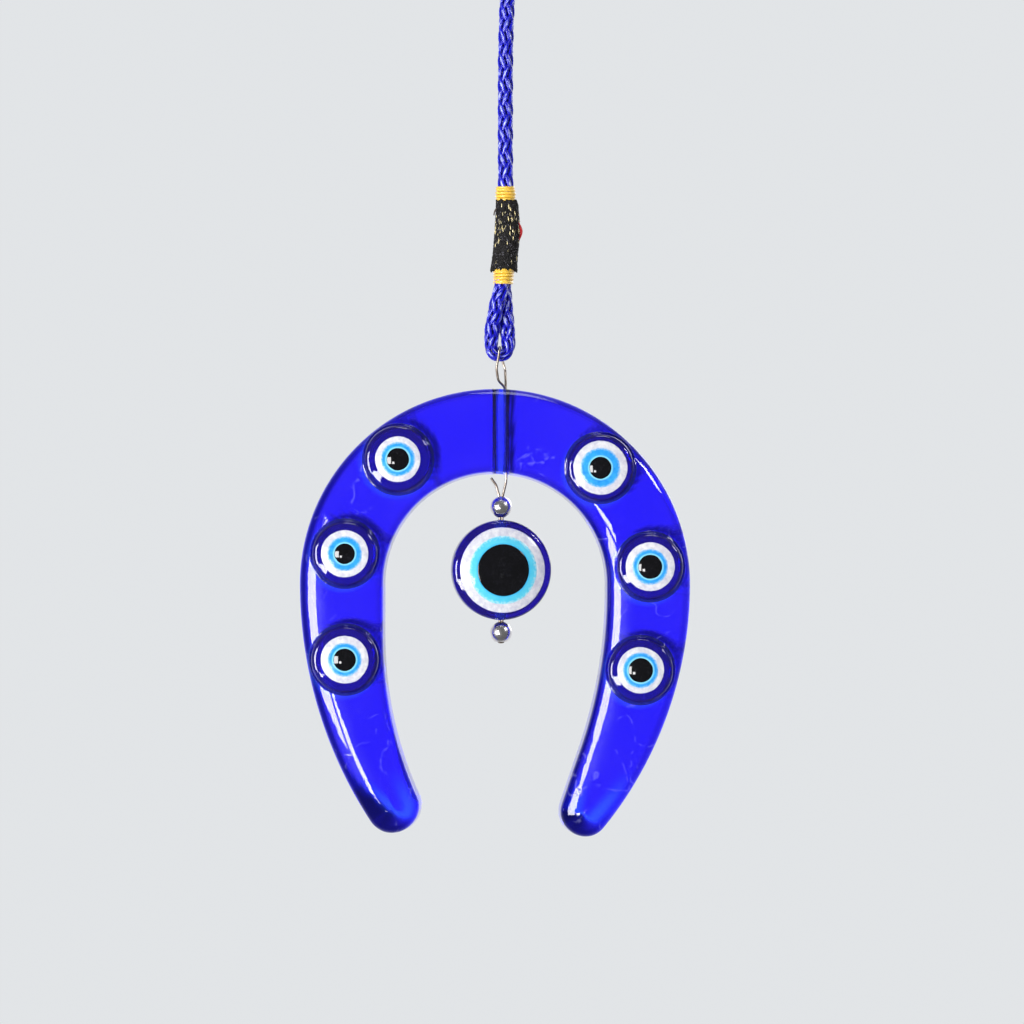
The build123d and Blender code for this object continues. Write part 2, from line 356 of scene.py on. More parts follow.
def drill(obj, radius, place, depth, segments):
    """Cuts a round hole along Z through the object's mesh and keeps the hole's edges sharp."""
    cutter = bmesh.new()
    bmesh.ops.create_cone(cutter, cap_ends=True, segments=segments, radius1=radius, radius2=radius, depth=depth,
                          matrix=Matrix.Translation(place))
    data = bpy.data.meshes.new("drill")
    cutter.to_mesh(data)
    cutter.free()
    tool = bare_object(data)
    cut = obj.modifiers.new("hole", "BOOLEAN")
    cut.operation, cut.solver, cut.object = "DIFFERENCE", "EXACT", tool
    graph = bpy.context.evaluated_depsgraph_get()
    obj_data = bpy.data.meshes.new_from_object(obj.evaluated_get(graph))
    obj.modifiers.remove(cut)
    bpy.data.objects.remove(tool)
    obj_data.shade_smooth()
    crease_sharp(obj_data, HOLE_CREASE)
    obj.data = obj_data


def point_values(data, name, values):
    """Stores a number at each point of a mesh, for a material or a node tree to read."""
    layer = data.attributes.new(name, "FLOAT", "POINT")
    layer.data.foreach_set("value", np.ascontiguousarray(values, np.float32))


def wander(points, size, seed):
    """Soft random numbers, about -1 to 1, that change over this size."""
    offset = Vector((seed * 13.7, seed * 7.1, seed * 3.3))
    return np.array([noise.noise(Vector(p) / size + offset) for p in points])


# ---------------------------------------------------------------- cord route

CORD_R = 1.4 * MM
CORD_ROUTE = [
    (0.00130, 0.00160, -0.0864),
    (0.00035, 0.00175, -0.0956),
    (0.00115, 0.00070, -0.1043),
    (0.00170, 0.00000, -0.1113),
    (-0.00220, 0.00000, -0.1113),
    (-0.00165, -0.00070, -0.1043),
    (0.00055, -0.00175, -0.0956),
    (0.00125, -0.00145, -0.0856),
    (0.00085, -0.00010, -0.0786),
    (0.00095, 0.00000, -0.0330),
    (0.00520, 0.00000, -0.0220),
    (0.00600, 0.00000, -0.0090),
    (0.00490, 0.00000, 0.0014),
    (-0.00490, 0.00000, 0.0014),
    (-0.00620, 0.00000, -0.0090),
    (-0.00580, 0.00000, -0.0215),
    (-0.00205, 0.00000, -0.0330),
    (-0.00210, 0.00000, -0.0378),
]


def line_points(route):
    """The points of the smooth line that the route's control points give."""
    data = bpy.data.curves.new("line", "CURVE")
    data.dimensions = "3D"
    data.resolution_u = 48
    spline = data.splines.new("NURBS")
    spline.points.add(len(route) - 1)
    for point, place in zip(spline.points, route):
        point.co = (*place, 1)
    spline.order_u = 3
    spline.use_endpoint_u = True
    obj = bpy.data.objects.new("line", data)
    bpy.context.scene.collection.objects.link(obj)
    graph = bpy.context.evaluated_depsgraph_get()
    mesh = bpy.data.meshes.new_from_object(obj.evaluated_get(graph))
    points = np.array([v.co for v in mesh.vertices], float)
    bpy.data.objects.remove(obj)
    return points


def evenly(points, step=0.0, count=0):
    """The same line with points a step apart, or this many, and the distance of each along it."""
    gaps = np.linalg.norm(np.diff(points, axis=0), axis=1)
    along = np.concatenate([[0], np.cumsum(gaps)])
    count = count or max(2, int(round(along[-1] / step)) + 1)
    at = np.linspace(0, along[-1], count)
    return np.stack([np.interp(at, along, points[:, k]) for k in range(3)], axis=1), at


def frames_along(points):
    """Two directions across the line at each point, carried along it without twist."""
    ahead = np.gradient(points, axis=0)
    ahead /= np.linalg.norm(ahead, axis=1)[:, None]
    side = np.cross(ahead[0], (0.0, 1.0, 0.0))
    if np.linalg.norm(side) < 0.1:
        side = np.cross(ahead[0], (1.0, 0.0, 0.0))
    sides = []
    for t in ahead:
        side = side - t * np.dot(side, t)
        side /= np.linalg.norm(side)
        sides.append(side)
    sides = np.array(sides)
    return sides, np.cross(ahead, sides), ahead


def swept(points, half_wide, half_thick, across, out, sides):
    """Points and faces of a closed strand: each section is an ellipse across and out from the line."""
    turn = np.linspace(0, 2 * math.pi, sides, endpoint=False)
    verts = (
        points[:, None, :]
        + across[:, None, :] * (np.cos(turn)[None, :, None] * half_wide[:, None, None])
        + out[:, None, :] * (np.sin(turn)[None, :, None] * half_thick[:, None, None])
    )
    return verts.reshape(-1, 3), ring_faces(len(points), sides)


def joined(parts):
    """One list of points and one of faces from several."""
    verts, faces = [], []
    for part_verts, part_faces in parts:
        start = len(verts)
        verts.extend(map(tuple, part_verts))
        faces.extend(tuple(i + start for i in f) for f in part_faces)
    return verts, faces


# ---------------------------------------------------------------- finishes


def cobalt_glass():
    """Clear glass that is coloured through its depth, with painted shade and painted light where the mesh says, and
    hazier where the mesh says.
    """
    material, ins, s, at = finish_of("cobalt_glass", Roughness=0.03, IOR=1.47, Transmission_Weight=0.97,
                                     Coat_Roughness=0.5, Emission_Strength=1.0)
    worn = use_group(s, SCRATCHES, Vector=at, Scale=110.0, Width=0.035, Cover=0.6)["Mask"]
    shade, glow, veil = (fac_of(s, name) for name in ("shade", "glow", "veil"))
    clear = use_group(s, MOTTLE, Vector=at, Scale=38.0, Contrast=0.8,
                      First=(0.18, 0.13, 1.0, 1), Second=(0.34, 0.28, 1.0, 1))["Color"]
    haze = s.maths("MULTIPLY", veil, use_group(s, MOTTLE, Vector=at, Scale=420.0, Contrast=0.9,
                                               First=(0, 0, 0, 1), Second=(1, 1, 1, 1))["Mask"])
    # Painted light: a bright azure where the mesh's glow says
    body = s.blend(glow, clear, (0.30, 0.62, 1.0, 1))
    # Painted shade: a near-black blue where the mesh's shade says
    s.feed(ins["Base Color"], s.blend(shade, body, (0.002, 0.001, 0.10, 1)))
    s.feed(ins["Coat Weight"], s.maths("MAXIMUM", worn, haze))
    # Painted light: the glass gives off a little blue light where the mesh's glow says, and its scratches give off a
    # faint pale light as painted glints
    painted_glow_light = s.blend(glow, (0, 0, 0, 1), (0.006, 0.050, 0.30, 1))
    s.feed(ins["Emission Color"], s.blend(s.maths("MULTIPLY", worn, 0.5), painted_glow_light, (0.10, 0.10, 0.25, 1)))
    wave = s.add("TexNoise", Vector=at, Scale=95.0, Detail=1.0)
    height = s.maths("ADD", wave.outputs["Fac"], s.maths("MULTIPLY", worn, 0.12))
    s.feed(ins["Normal"], s.bump(height, 0.00012, 0.5))
    absorb(material, (0.18, 0.02, 0.988, 1), 430.0)
    return material


def dark_blue_glass():
    """Nearly opaque blue glass, painted a brighter blue where the mesh says, as painted light piped into it."""
    material, ins, s, at = finish_of("dark_blue_glass", Roughness=0.03, IOR=1.5, Transmission_Weight=0.85)
    glow = fac_of(s, "glow")
    colour = use_group(s, MOTTLE, Vector=at, Scale=260.0, Contrast=0.7,
                       First=(0.035, 0.018, 0.36, 1), Second=(0.07, 0.04, 0.52, 1))["Color"]
    # Painted light: a bright blue where the mesh's glow says
    s.feed(ins["Base Color"], s.blend(glow, colour, (0.07, 0.11, 1.0, 1)))
    wave = s.add("TexNoise", Vector=at, Scale=240.0, Detail=1.0)
    s.feed(ins["Normal"], s.bump(wave.outputs["Fac"], 0.00004, 0.5))
    absorb(material, (0.3, 0.1, 0.9, 1), 500.0)
    return material


def enamel(name, first, second, edge_colour, edge_at, edge_soft, inner_colour, scale=900.0, **plain):
    """Opaque coloured glass: a mottled body whose colour changes near its rim or near its middle."""
    material, ins, s, at = finish_of(name, **plain)
    far = fac_of(s, "from_middle")
    body = use_group(s, MOTTLE, Vector=at, Scale=scale, Contrast=0.45, First=first, Second=second)["Color"]
    jitter = s.add("TexNoise", Vector=at, Scale=2200.0, Detail=2.0)
    place = s.maths("ADD", far, s.maths("MULTIPLY", s.maths("SUBTRACT", jitter.outputs["Fac"], 0.5), 0.22))
    mask = s.span(place, edge_at, edge_at + edge_soft)
    near = s.span(fac_of(s, "near_inner"), 0.2, 0.75)
    s.feed(ins["Base Color"], s.blend(near, s.blend(mask, body, edge_colour), inner_colour))
    s.feed(ins["Normal"], s.bump(jitter.outputs["Fac"], 0.00001, 0.35))
    return material


def black_glass():
    material, ins, s, at = finish_of("black_glass", Roughness=0.06, IOR=1.5)
    worn = use_group(s, SCRATCHES, Vector=at, Scale=330.0, Width=0.03, Cover=1.0)["Mask"]
    body = use_group(s, MOTTLE, Vector=at, Scale=500.0, Contrast=0.6,
                     First=(0.0015, 0.0015, 0.002, 1), Second=(0.004, 0.004, 0.006, 1))["Color"]
    s.feed(ins["Base Color"], s.blend(s.maths("MULTIPLY", worn, 0.10), body, (0.12, 0.12, 0.14, 1)))
    wave = s.add("TexNoise", Vector=at, Scale=420.0, Detail=1.0)
    s.feed(ins["Normal"], s.bump(wave.outputs["Fac"], 0.00003, 0.4))
    return material


def silver_metal():
    material, ins, s, at = finish_of("silver_metal", Metallic=1.0)
    tone = use_group(s, MOTTLE, Vector=at, Scale=900.0, Contrast=0.6,
                     First=(0.92, 0.90, 0.90, 1), Second=(0.66, 0.63, 0.65, 1))
    s.feed(ins["Base Color"], tone["Color"])
    s.feed(ins["Roughness"], s.span(tone["Mask"], 0.0, 1.0, 0.18, 0.34))
    dents = s.add("TexNoise", Vector=at, Scale=800.0, Detail=2.0)
    s.feed(ins["Normal"], s.bump(dents.outputs["Fac"], 0.00010, 0.7))
    return material


def steel_wire():
    material, ins, s, at = finish_of("steel_wire", Metallic=1.0)
    tone = use_group(s, MOTTLE, Vector=at, Scale=700.0, Contrast=0.5,
                     First=(0.50, 0.44, 0.38, 1), Second=(0.20, 0.15, 0.12, 1))
    s.feed(ins["Base Color"], tone["Color"])
    s.feed(ins["Roughness"], s.span(tone["Mask"], 0.0, 1.0, 0.25, 0.5))
    fine = s.add("TexNoise", Vector=s.stretched(at, (1, 1, 0.15)), Scale=6000.0, Detail=2.0)
    s.feed(ins["Normal"], s.bump(fine.outputs["Fac"], 0.00001, 0.5))
    return material


def yarn(name, dark, light, rough, across=9.0, along=400.0, relief=0.00005, **plain):
    """Thread whose fine filaments follow its own map, u across it and v along it in metres."""
    material, ins, s, at = finish_of(name, **plain)
    uv = s.add("UVMap", {"uv_map": "strand"}).outputs["UV"]
    threads = use_group(s, FIBRES, Vector=uv, Across=across, Along=along)
    cloud = use_group(s, MOTTLE, Vector=at, Scale=500.0, Contrast=0.7,
                      First=(0, 0, 0, 1), Second=(1, 1, 1, 1))["Mask"]
    mask = s.maths("ADD", s.maths("MULTIPLY", threads["Mask"], 0.7), s.maths("MULTIPLY", cloud, 0.3))
    s.feed(ins["Base Color"], s.blend(mask, dark, light))
    s.feed(ins["Roughness"], s.span(threads["Mask"], 0.0, 1.0, rough + 0.12, rough))
    s.feed(ins["Normal"], s.bump(threads["Height"], relief, 0.8))
    return material


def braid_finish():
    """Glossy filaments with painted light and shade: a painted highlight where a strand lies over the others,
    painted shade where it dives under.
    """
    material, ins, s, at = finish_of("blue_cord", Specular_IOR_Level=0.45, Coat_Weight=0.25, Coat_Roughness=0.16)
    uv = s.add("UVMap", {"uv_map": "strand"}).outputs["UV"]
    threads = use_group(s, FIBRES, Vector=uv, Across=7.0, Along=260.0)
    over = fac_of(s, "over")
    mask = s.maths("ADD", s.maths("MULTIPLY", threads["Mask"], 0.35), s.maths("MULTIPLY", over, 0.65))
    # Painted shade: near black where a strand dives under and on the core
    royal_with_painted_shade = s.blend(s.span(mask, 0.10, 0.50), (0.001, 0.001, 0.05, 1), (0.003, 0.004, 0.52, 1))
    # Painted highlight: near white on the strands' crests
    s.feed(ins["Base Color"], s.blend(s.span(mask, 0.66, 0.86), royal_with_painted_shade, (0.60, 0.68, 1.0, 1)))
    s.feed(ins["Roughness"], s.span(threads["Mask"], 0.0, 1.0, 0.34, 0.22))
    s.feed(ins["Normal"], s.bump(threads["Height"], 0.00008, 0.8))
    return material


def wrap_finish(name, first, second, rough, **plain):
    """Fuzzy fibre or foil in two mottled tones."""
    material, ins, s, at = finish_of(name, **plain)
    tone = use_group(s, MOTTLE, Vector=at, Scale=1800.0, Contrast=0.6, First=first, Second=second)
    s.feed(ins["Base Color"], tone["Color"])
    s.feed(ins["Roughness"], s.span(tone["Mask"], 0.0, 1.0, rough, rough + 0.15))
    fluff = s.add("TexNoise", Vector=at, Scale=3500.0, Detail=3.0)
    s.feed(ins["Normal"], s.bump(fluff.outputs["Fac"], 0.00006, 0.9))
    return material


GLASS = cobalt_glass()
DARK_GLASS = dark_blue_glass()
WHITE = enamel("white_glass", (0.76, 0.76, 0.78, 1), (0.52, 0.52, 0.62, 1), (0.50, 0.50, 0.72, 1), 0.95, 0.10,
               (0.80, 0.80, 0.82, 1), Roughness=0.18)
LIGHT_BLUE = enamel("light_blue_glass", (0.015, 0.25, 0.72, 1), (0.04, 0.38, 0.84, 1), (0.36, 0.58, 0.82, 1),
                    0.86, 0.16, (0.22, 0.62, 0.84, 1), Roughness=0.15)
CYAN = enamel("cyan_glass", (0.07, 0.52, 0.74, 1), (0.11, 0.60, 0.80, 1), (0.50, 0.76, 0.82, 1), 0.90, 0.14,
              (0.05, 0.46, 0.78, 1), scale=400.0, Roughness=0.12)
BLACK = black_glass()
SILVER = silver_metal()
STEEL = steel_wire()
BRAID = braid_finish()
YELLOW = yarn("yellow_thread", (0.85, 0.42, 0.012, 1), (1.0, 0.74, 0.10, 1), 0.22, along=500.0,
              Specular_IOR_Level=0.8, Coat_Weight=0.3, Coat_Roughness=0.2)
RED = yarn("red_thread", (0.35, 0.003, 0.006, 1), (0.75, 0.01, 0.02, 1), 0.45)
BROWN = yarn("brown_thread", (0.03, 0.018, 0.012, 1), (0.10, 0.06, 0.04, 1), 0.55)
WRAP = wrap_finish("black_gold_wrap", (0.003, 0.003, 0.004, 1), (0.020, 0.018, 0.017, 1), 0.5,
                   Specular_IOR_Level=0.22)
GOLD = wrap_finish("gold_glitter", (1.0, 0.92, 0.60, 1), (0.95, 0.74, 0.30, 1), 0.2, Metallic=0.3)
LINT = wrap_finish("grey_lint", (0.20, 0.19, 0.22, 1), (0.08, 0.075, 0.10, 1), 0.7)


def strand_map(data, across, along):
    """Gives a mesh the map that yarn reads, from two numbers at each point."""
    layer = data.uv_layers.new(name="strand")
    corners = np.zeros(len(data.loops), np.int32)
    data.loops.foreach_get("vertex_index", corners)
    values = np.stack([np.asarray(across)[corners], np.asarray(along)[corners]], axis=1)
    layer.data.foreach_set("uv", values.astype(np.float32).ravel())


# ---------------------------------------------------------------- braided cord

BRAID_LAY = 14.7 * MM  # one full turn of a carrier
BRAID_CARRIERS = 12
BRAID_STEP = 0.37 * MM
BRAID_SWAY = 0.17  # radians that a strand sways where it crosses the others
BRAID_FULL = 1.15  # strands stand a little proud of the cord's mean surface
STRAND_SIDES = 12
# Shares of the cord's radius: where a strand runs and how far it rises, its half width and how much that grows
# on top, and its half thickness
STRAND_RUNS, STRAND_RISES, STRAND_WIDE, STRAND_SPREADS, STRAND_THICK = 0.715, 0.085, 0.27, 0.04, 0.20
CORE_SHARE = 0.62
BOUND_SLIM = 0.13  # how much the bindings squeeze the cord
BOUND_PLACES = [(-35.4 * MM, 2.7 * MM), (-88.6 * MM, 9.0 * MM)]  # middle height and reach of each binding
EYE_LOW = (-0.25 * MM, 0.0, -111.3 * MM)
WIRE_BITE, WIRE_REACH = 0.30, 2.6 * MM  # how much the wire's pull slims the cord at the bottom of its eye


def braid_fullness(points):
    """The cord's radius at each point: less inside the bindings and where the wire hangs in its eye."""
    from_wire = np.linalg.norm(points - np.array(EYE_LOW), axis=1)
    bound = sum(np.exp(-(((points[:, 2] - place) / reach) ** 8)) for place, reach in BOUND_PLACES)
    bitten = np.exp(-((from_wire / WIRE_REACH) ** 2))
    return BRAID_FULL * CORD_R * (1 - WIRE_BITE * bitten) * (1 - BOUND_SLIM * bound)


def braid_strands(points, along):
    """Twelve flat strands, six each way round, each over two and under two of the others."""
    side, other, _ = frames_along(points)
    full = braid_fullness(points)
    crossing = along / BRAID_LAY * BRAID_CARRIERS
    # The outward-facing middle of each strand, where the finish paints its highlight
    crest_highlight = np.maximum(0.0, np.sin(2 * math.pi * np.arange(STRAND_SIDES) / STRAND_SIDES))[None, :] ** 6
    parts, across_map, along_map, over = [], [], [], []
    for carrier in range(BRAID_CARRIERS):
        hand = 1 if carrier % 2 else -1
        swing = crossing + (-0.5 if hand > 0 else 1.5)
        angle = hand * (2 * math.pi * crossing / BRAID_CARRIERS - BRAID_SWAY * np.sin(math.pi / 2 * swing))
        angle = angle + 2 * math.pi * (carrier // 2) / (BRAID_CARRIERS / 2)
        lift = np.cos(math.pi / 2 * swing)
        out = side * np.cos(angle)[:, None] + other * np.sin(angle)[:, None]
        path = points + out * (full * (STRAND_RUNS + STRAND_RISES * lift))[:, None]
        run = np.gradient(path, axis=0)
        run /= np.linalg.norm(run, axis=1)[:, None]
        across = np.cross(out, run)
        across /= np.linalg.norm(across, axis=1)[:, None]
        wide = full * (STRAND_WIDE + STRAND_SPREADS * lift)
        parts.append(swept(path, wide, full * STRAND_THICK, across, np.cross(run, across), STRAND_SIDES))
        across_map.extend(np.tile(np.arange(STRAND_SIDES) / STRAND_SIDES + carrier, len(points)))
        along_map.extend(np.repeat(along + carrier * 0.37, STRAND_SIDES))
        # Painted light and shade for the finish: lighter on a strand's crest and where it lies over, darker where it
        # dives under
        over.extend(((0.5 + 0.5 * lift)[:, None] * (0.5 + 0.5 * crest_highlight)).ravel())
    return parts, across_map, along_map, over


def make_cord():
    points, along = evenly(line_points(CORD_ROUTE), BRAID_STEP)
    parts, across_map, along_map, over = braid_strands(points, along)
    side, other, _ = frames_along(points)
    inside = np.full(len(points), CORD_R * CORE_SHARE)
    parts.append(swept(points, inside, inside, side, other, STRAND_SIDES))
    across_map.extend(np.tile(np.arange(STRAND_SIDES) / STRAND_SIDES, len(points)))
    along_map.extend(np.repeat(along, STRAND_SIDES))
    # The core gets the lowest value, so the finish paints it near black: painted shade in the gaps between the
    # strands
    over.extend([0.0] * (len(points) * STRAND_SIDES))
    verts, faces = joined(parts)
    data = bpy.data.meshes.new("cord_braid")
    data.from_pydata(verts, [], faces)
    strand_map(data, across_map, along_map)
    point_values(data, "over", over)
    cord = placed("cord_braid", data, BRAID, "cord")
    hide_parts("braided_cord")


make_cord()

# ---------------------------------------------------------------- thread turns, grown by a node tree


def tree_of_nodes(name, ins):
    """A new geometry tree with a geometry input and output, and these named inputs."""
    tree = bpy.data.node_groups.new(name, "GeometryNodeTree")
    tree.interface.new_socket(name="Geometry", in_out="INPUT", socket_type="NodeSocketGeometry")
    for label, kind, value in ins:
        socket = tree.interface.new_socket(name=label, in_out="INPUT", socket_type="NodeSocket" + kind)
        if value is not None:
            socket.default_value = value
    tree.interface.new_socket(name="Geometry", in_out="OUTPUT", socket_type="NodeSocketGeometry")
    return tree, tree.nodes.new("NodeGroupInput").outputs, tree.nodes.new("NodeGroupOutput").inputs


def wire_up(tree, kind, settings=None, links=(), values=()):
    node = tree.nodes.new(kind)
    for key, value in (settings or {}).items():
        setattr(node, key, value)
    for socket, source in links:
        tree.links.new(source, node.inputs[socket])
    for socket, value in values:
        node.inputs[socket].default_value = value
    return node


def make_thread_tree():
    """A round thread along a line of points, with the map that yarn reads."""
    tree, ins, outs = tree_of_nodes(
        "thread_turns", [("Thickness", "Float", 0.0003), ("Sides", "Int", 8), ("Material", "Material", None)]
    )
    curve = wire_up(tree, "GeometryNodeMeshToCurve", links=[("Mesh", ins["Geometry"])])
    where = wire_up(tree, "GeometryNodeSplineParameter")
    kept = wire_up(tree, "GeometryNodeCaptureAttribute", {"domain": "POINT"},
                   [("Geometry", curve.outputs["Curve"])])
    kept.capture_items.new("FLOAT", "Along")
    tree.links.new(where.outputs["Length"], kept.inputs["Along"])
    circle = wire_up(tree, "GeometryNodeCurvePrimitiveCircle", {"mode": "RADIUS"},
                     [("Resolution", ins["Sides"]), ("Radius", ins["Thickness"])])
    round_it = wire_up(tree, "GeometryNodeCaptureAttribute", {"domain": "POINT"},
                       [("Geometry", circle.outputs["Curve"])])
    round_it.capture_items.new("FLOAT", "Across")
    around = wire_up(tree, "GeometryNodeSplineParameter")
    tree.links.new(around.outputs["Factor"], round_it.inputs["Across"])
    solid = wire_up(tree, "GeometryNodeCurveToMesh",
                    links=[("Curve", kept.outputs["Geometry"]), ("Profile Curve", round_it.outputs["Geometry"])],
                    values=[("Fill Caps", True)])
    both = wire_up(tree, "ShaderNodeCombineXYZ",
                   links=[("X", round_it.outputs["Across"]), ("Y", kept.outputs["Along"])])
    stored = wire_up(tree, "GeometryNodeStoreNamedAttribute", {"data_type": "FLOAT2", "domain": "CORNER"},
                     [("Geometry", solid.outputs["Mesh"]), ("Value", both.outputs[0])], [("Name", "strand")])
    smooth = wire_up(tree, "GeometryNodeSetShadeSmooth", links=[("Geometry", stored.outputs["Geometry"])])
    real = wire_up(tree, "GeometryNodeRealizeInstances", links=[("Geometry", smooth.outputs["Geometry"])])
    done = wire_up(tree, "GeometryNodeSetMaterial",
                   links=[("Geometry", real.outputs["Geometry"]), ("Material", ins["Material"])])
    tree.links.new(done.outputs["Geometry"], outs["Geometry"])
    return tree


def make_scatter_tree():
    """Copies of a small shape over a surface, stood up along +Z, thicker where the surface's weight says."""
    tree, ins, outs = tree_of_nodes(
        "flecks",
        [("Density", "Float", 1e6), ("Seed", "Int", 1), ("Length", "Float", 0.0006), ("Width", "Float", 0.0002),
         ("Lift", "Float", 0.0), ("Tilt", "Float", 0.3), ("Material", "Material", None)],
    )
    weight = wire_up(tree, "GeometryNodeInputNamedAttribute", {"data_type": "FLOAT"}, values=[("Name", "weight")])
    density = wire_up(tree, "ShaderNodeMath", {"operation": "MULTIPLY"},
                      [(0, ins["Density"]), (1, weight.outputs["Attribute"])])
    spots = wire_up(tree, "GeometryNodeDistributePointsOnFaces", {"distribute_method": "RANDOM"},
                    [("Mesh", ins["Geometry"]), ("Density", density.outputs[0]), ("Seed", ins["Seed"])])
    outward = wire_up(tree, "FunctionNodeAlignRotationToVector", {"axis": "Z"},
                      [("Vector", spots.outputs["Normal"])])
    upright = wire_up(tree, "FunctionNodeAlignRotationToVector", {"axis": "Y", "pivot_axis": "Z"},
                      [("Rotation", outward.outputs[0])], [("Vector", (0, 0, 1))])
    lean = wire_up(tree, "ShaderNodeMath", {"operation": "MULTIPLY"}, [(0, ins["Tilt"])], [(1, -1.0)])
    chance = wire_up(tree, "FunctionNodeRandomValue", {"data_type": "FLOAT"},
                     [(2, lean.outputs[0]), (3, ins["Tilt"]), ("Seed", ins["Seed"])])
    tilt = wire_up(tree, "ShaderNodeCombineXYZ", links=[("Z", chance.outputs[1])])
    leaned = wire_up(tree, "FunctionNodeRotateRotation", {"rotation_space": "LOCAL"},
                     [("Rotation", upright.outputs[0]), ("Rotate By", tilt.outputs[0])])
    ball = wire_up(tree, "GeometryNodeMeshIcoSphere", values=[("Radius", 0.5), ("Subdivisions", 1)])
    shape = wire_up(tree, "ShaderNodeCombineXYZ",
                    links=[("X", ins["Width"]), ("Y", ins["Length"]), ("Z", ins["Width"])])
    size = wire_up(tree, "FunctionNodeRandomValue", {"data_type": "FLOAT"}, [("Seed", ins["Seed"])],
                   [(2, 0.55), (3, 1.25)])
    sized = wire_up(tree, "ShaderNodeVectorMath", {"operation": "SCALE"},
                    [(0, shape.outputs[0]), ("Scale", size.outputs[1])])
    raised = wire_up(tree, "ShaderNodeVectorMath", {"operation": "SCALE"},
                     [(0, spots.outputs["Normal"]), ("Scale", ins["Lift"])])
    moved = wire_up(tree, "GeometryNodeSetPosition",
                    links=[("Geometry", spots.outputs["Points"]), ("Offset", raised.outputs[0])])
    copies = wire_up(tree, "GeometryNodeInstanceOnPoints",
                     links=[("Points", moved.outputs["Geometry"]), ("Instance", ball.outputs["Mesh"]),
                            ("Rotation", leaned.outputs[0]), ("Scale", sized.outputs[0])])
    real = wire_up(tree, "GeometryNodeRealizeInstances", links=[("Geometry", copies.outputs[0])])
    smooth = wire_up(tree, "GeometryNodeSetShadeSmooth", links=[("Geometry", real.outputs["Geometry"])])
    done = wire_up(tree, "GeometryNodeSetMaterial",
                   links=[("Geometry", smooth.outputs["Geometry"]), ("Material", ins["Material"])])
    tree.links.new(done.outputs["Geometry"], outs["Geometry"])
    return tree


THREAD_TREE, FLECK_TREE = make_thread_tree(), make_scatter_tree()


def grown(base, tree, **values):
    """The plain mesh that a tree grows from base, which is then gone."""
    modifier = base.modifiers.new("grow", "NODES")
    modifier.node_group = tree
    for item in tree.interface.items_tree:
        if item.in_out == "INPUT" and item.name in values:
            modifier[item.identifier] = values[item.name]
    graph = bpy.context.evaluated_depsgraph_get()
    graph.update()
    data = bpy.data.meshes.new_from_object(base.evaluated_get(graph))
    bpy.data.objects.remove(base)
    return data


def thread_piece(name, runs, thickness, material, body, sides=8):
    """One thread piece from lists of points, each run a thread of its own."""
    verts, edges = [], []
    for run in runs:
        start = len(verts)
        verts.extend(tuple(p) for p in run)
        edges.extend((start + i, start + i + 1) for i in range(len(run) - 1))
    data = bpy.data.meshes.new("base")
    data.from_pydata(verts, edges, [])
    data = grown(bare_object(data), THREAD_TREE, Thickness=thickness, Sides=sides, Material=material)
    return placed(name, data, material, body)


BINDINGS = {  # X, Y, Z, half width, half depth, in millimetres from top to bottom
    "top_whipping": [
        (-0.55, 0.0, -33.4, 3.3, 1.85), (-0.55, 0.0, -35.4, 3.45, 2.0), (-0.55, 0.0, -37.4, 3.3, 1.85),
    ],
    "upper_whipping": [
        (0.87, -0.1, -77.3, 1.9, 1.9), (0.90, -0.2, -78.7, 2.05, 2.05), (0.95, -0.4, -80.45, 1.95, 2.1),
    ],
    "glitter_sleeve": [
        (1.10, -0.5, -80.15, 2.1, 2.2), (1.30, -0.4, -83.5, 2.4, 3.0), (1.25, 0.0, -87.0, 2.55, 3.4),
        (0.90, 0.0, -90.5, 2.5, 3.5), (0.55, 0.0, -94.2, 2.6, 3.5),
    ],
    "lower_whipping": [
        (0.60, 0.0, -93.7, 2.2, 3.45), (0.50, 0.0, -95.3, 2.15, 3.4), (0.45, 0.0, -96.9, 2.0, 3.35),
    ],
}


TURN_STEPS = 44  # points in one turn of thread


def section_at(name, z):
    """Middle X and Y, half width and half depth of a binding at a height, in metres."""
    rows = np.array(BINDINGS[name])[::-1] * MM
    return [np.interp(z, rows[:, 2], rows[:, k]) for k in (0, 1, 3, 4)]


def whipping(name, turns, slant):
    """Turns of round thread laid side by side round the cord, slanting a little as a hand lays them."""
    rows = BINDINGS[name]
    top, bottom = rows[0][2] * MM, rows[-1][2] * MM
    thickness = (top - bottom) / (turns - 0.4) * 0.56
    rng = random.Random(name)
    lift = [rng.uniform(-0.05, 0.06) * MM for _ in range(turns + 2)]
    path = []
    for i in range(turns * TURN_STEPS + 1):
        share = i / (turns * TURN_STEPS)
        turn = i / TURN_STEPS
        angle = 2 * math.pi * turn
        # The first and last turns close on themselves, so that both ends are square
        laid = min(1.0, max(0.0, (share * turns - 1.0) / (turns - 2.0)))
        z = top - thickness - laid * (top - bottom - 2 * thickness)
        z += slant * math.cos(angle + 0.4) * math.sin(math.pi * share)
        x, y, wide, deep = section_at(name, z)
        proud = lift[int(turn)] * (1 - turn % 1) + lift[int(turn) + 1] * (turn % 1) - thickness
        path.append((x + (wide + proud) * math.cos(angle), y + (deep + proud) * math.sin(angle), z))
    wrap = thread_piece(name + "_turns", [path], thickness, YELLOW, "cord", sides=10)
    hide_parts(name)


whipping("top_whipping", 7, 0.06 * MM)
whipping("upper_whipping", 6, 0.05 * MM)
whipping("lower_whipping", 6, 0.14 * MM)

# ---------------------------------------------------------------- glitter sleeve


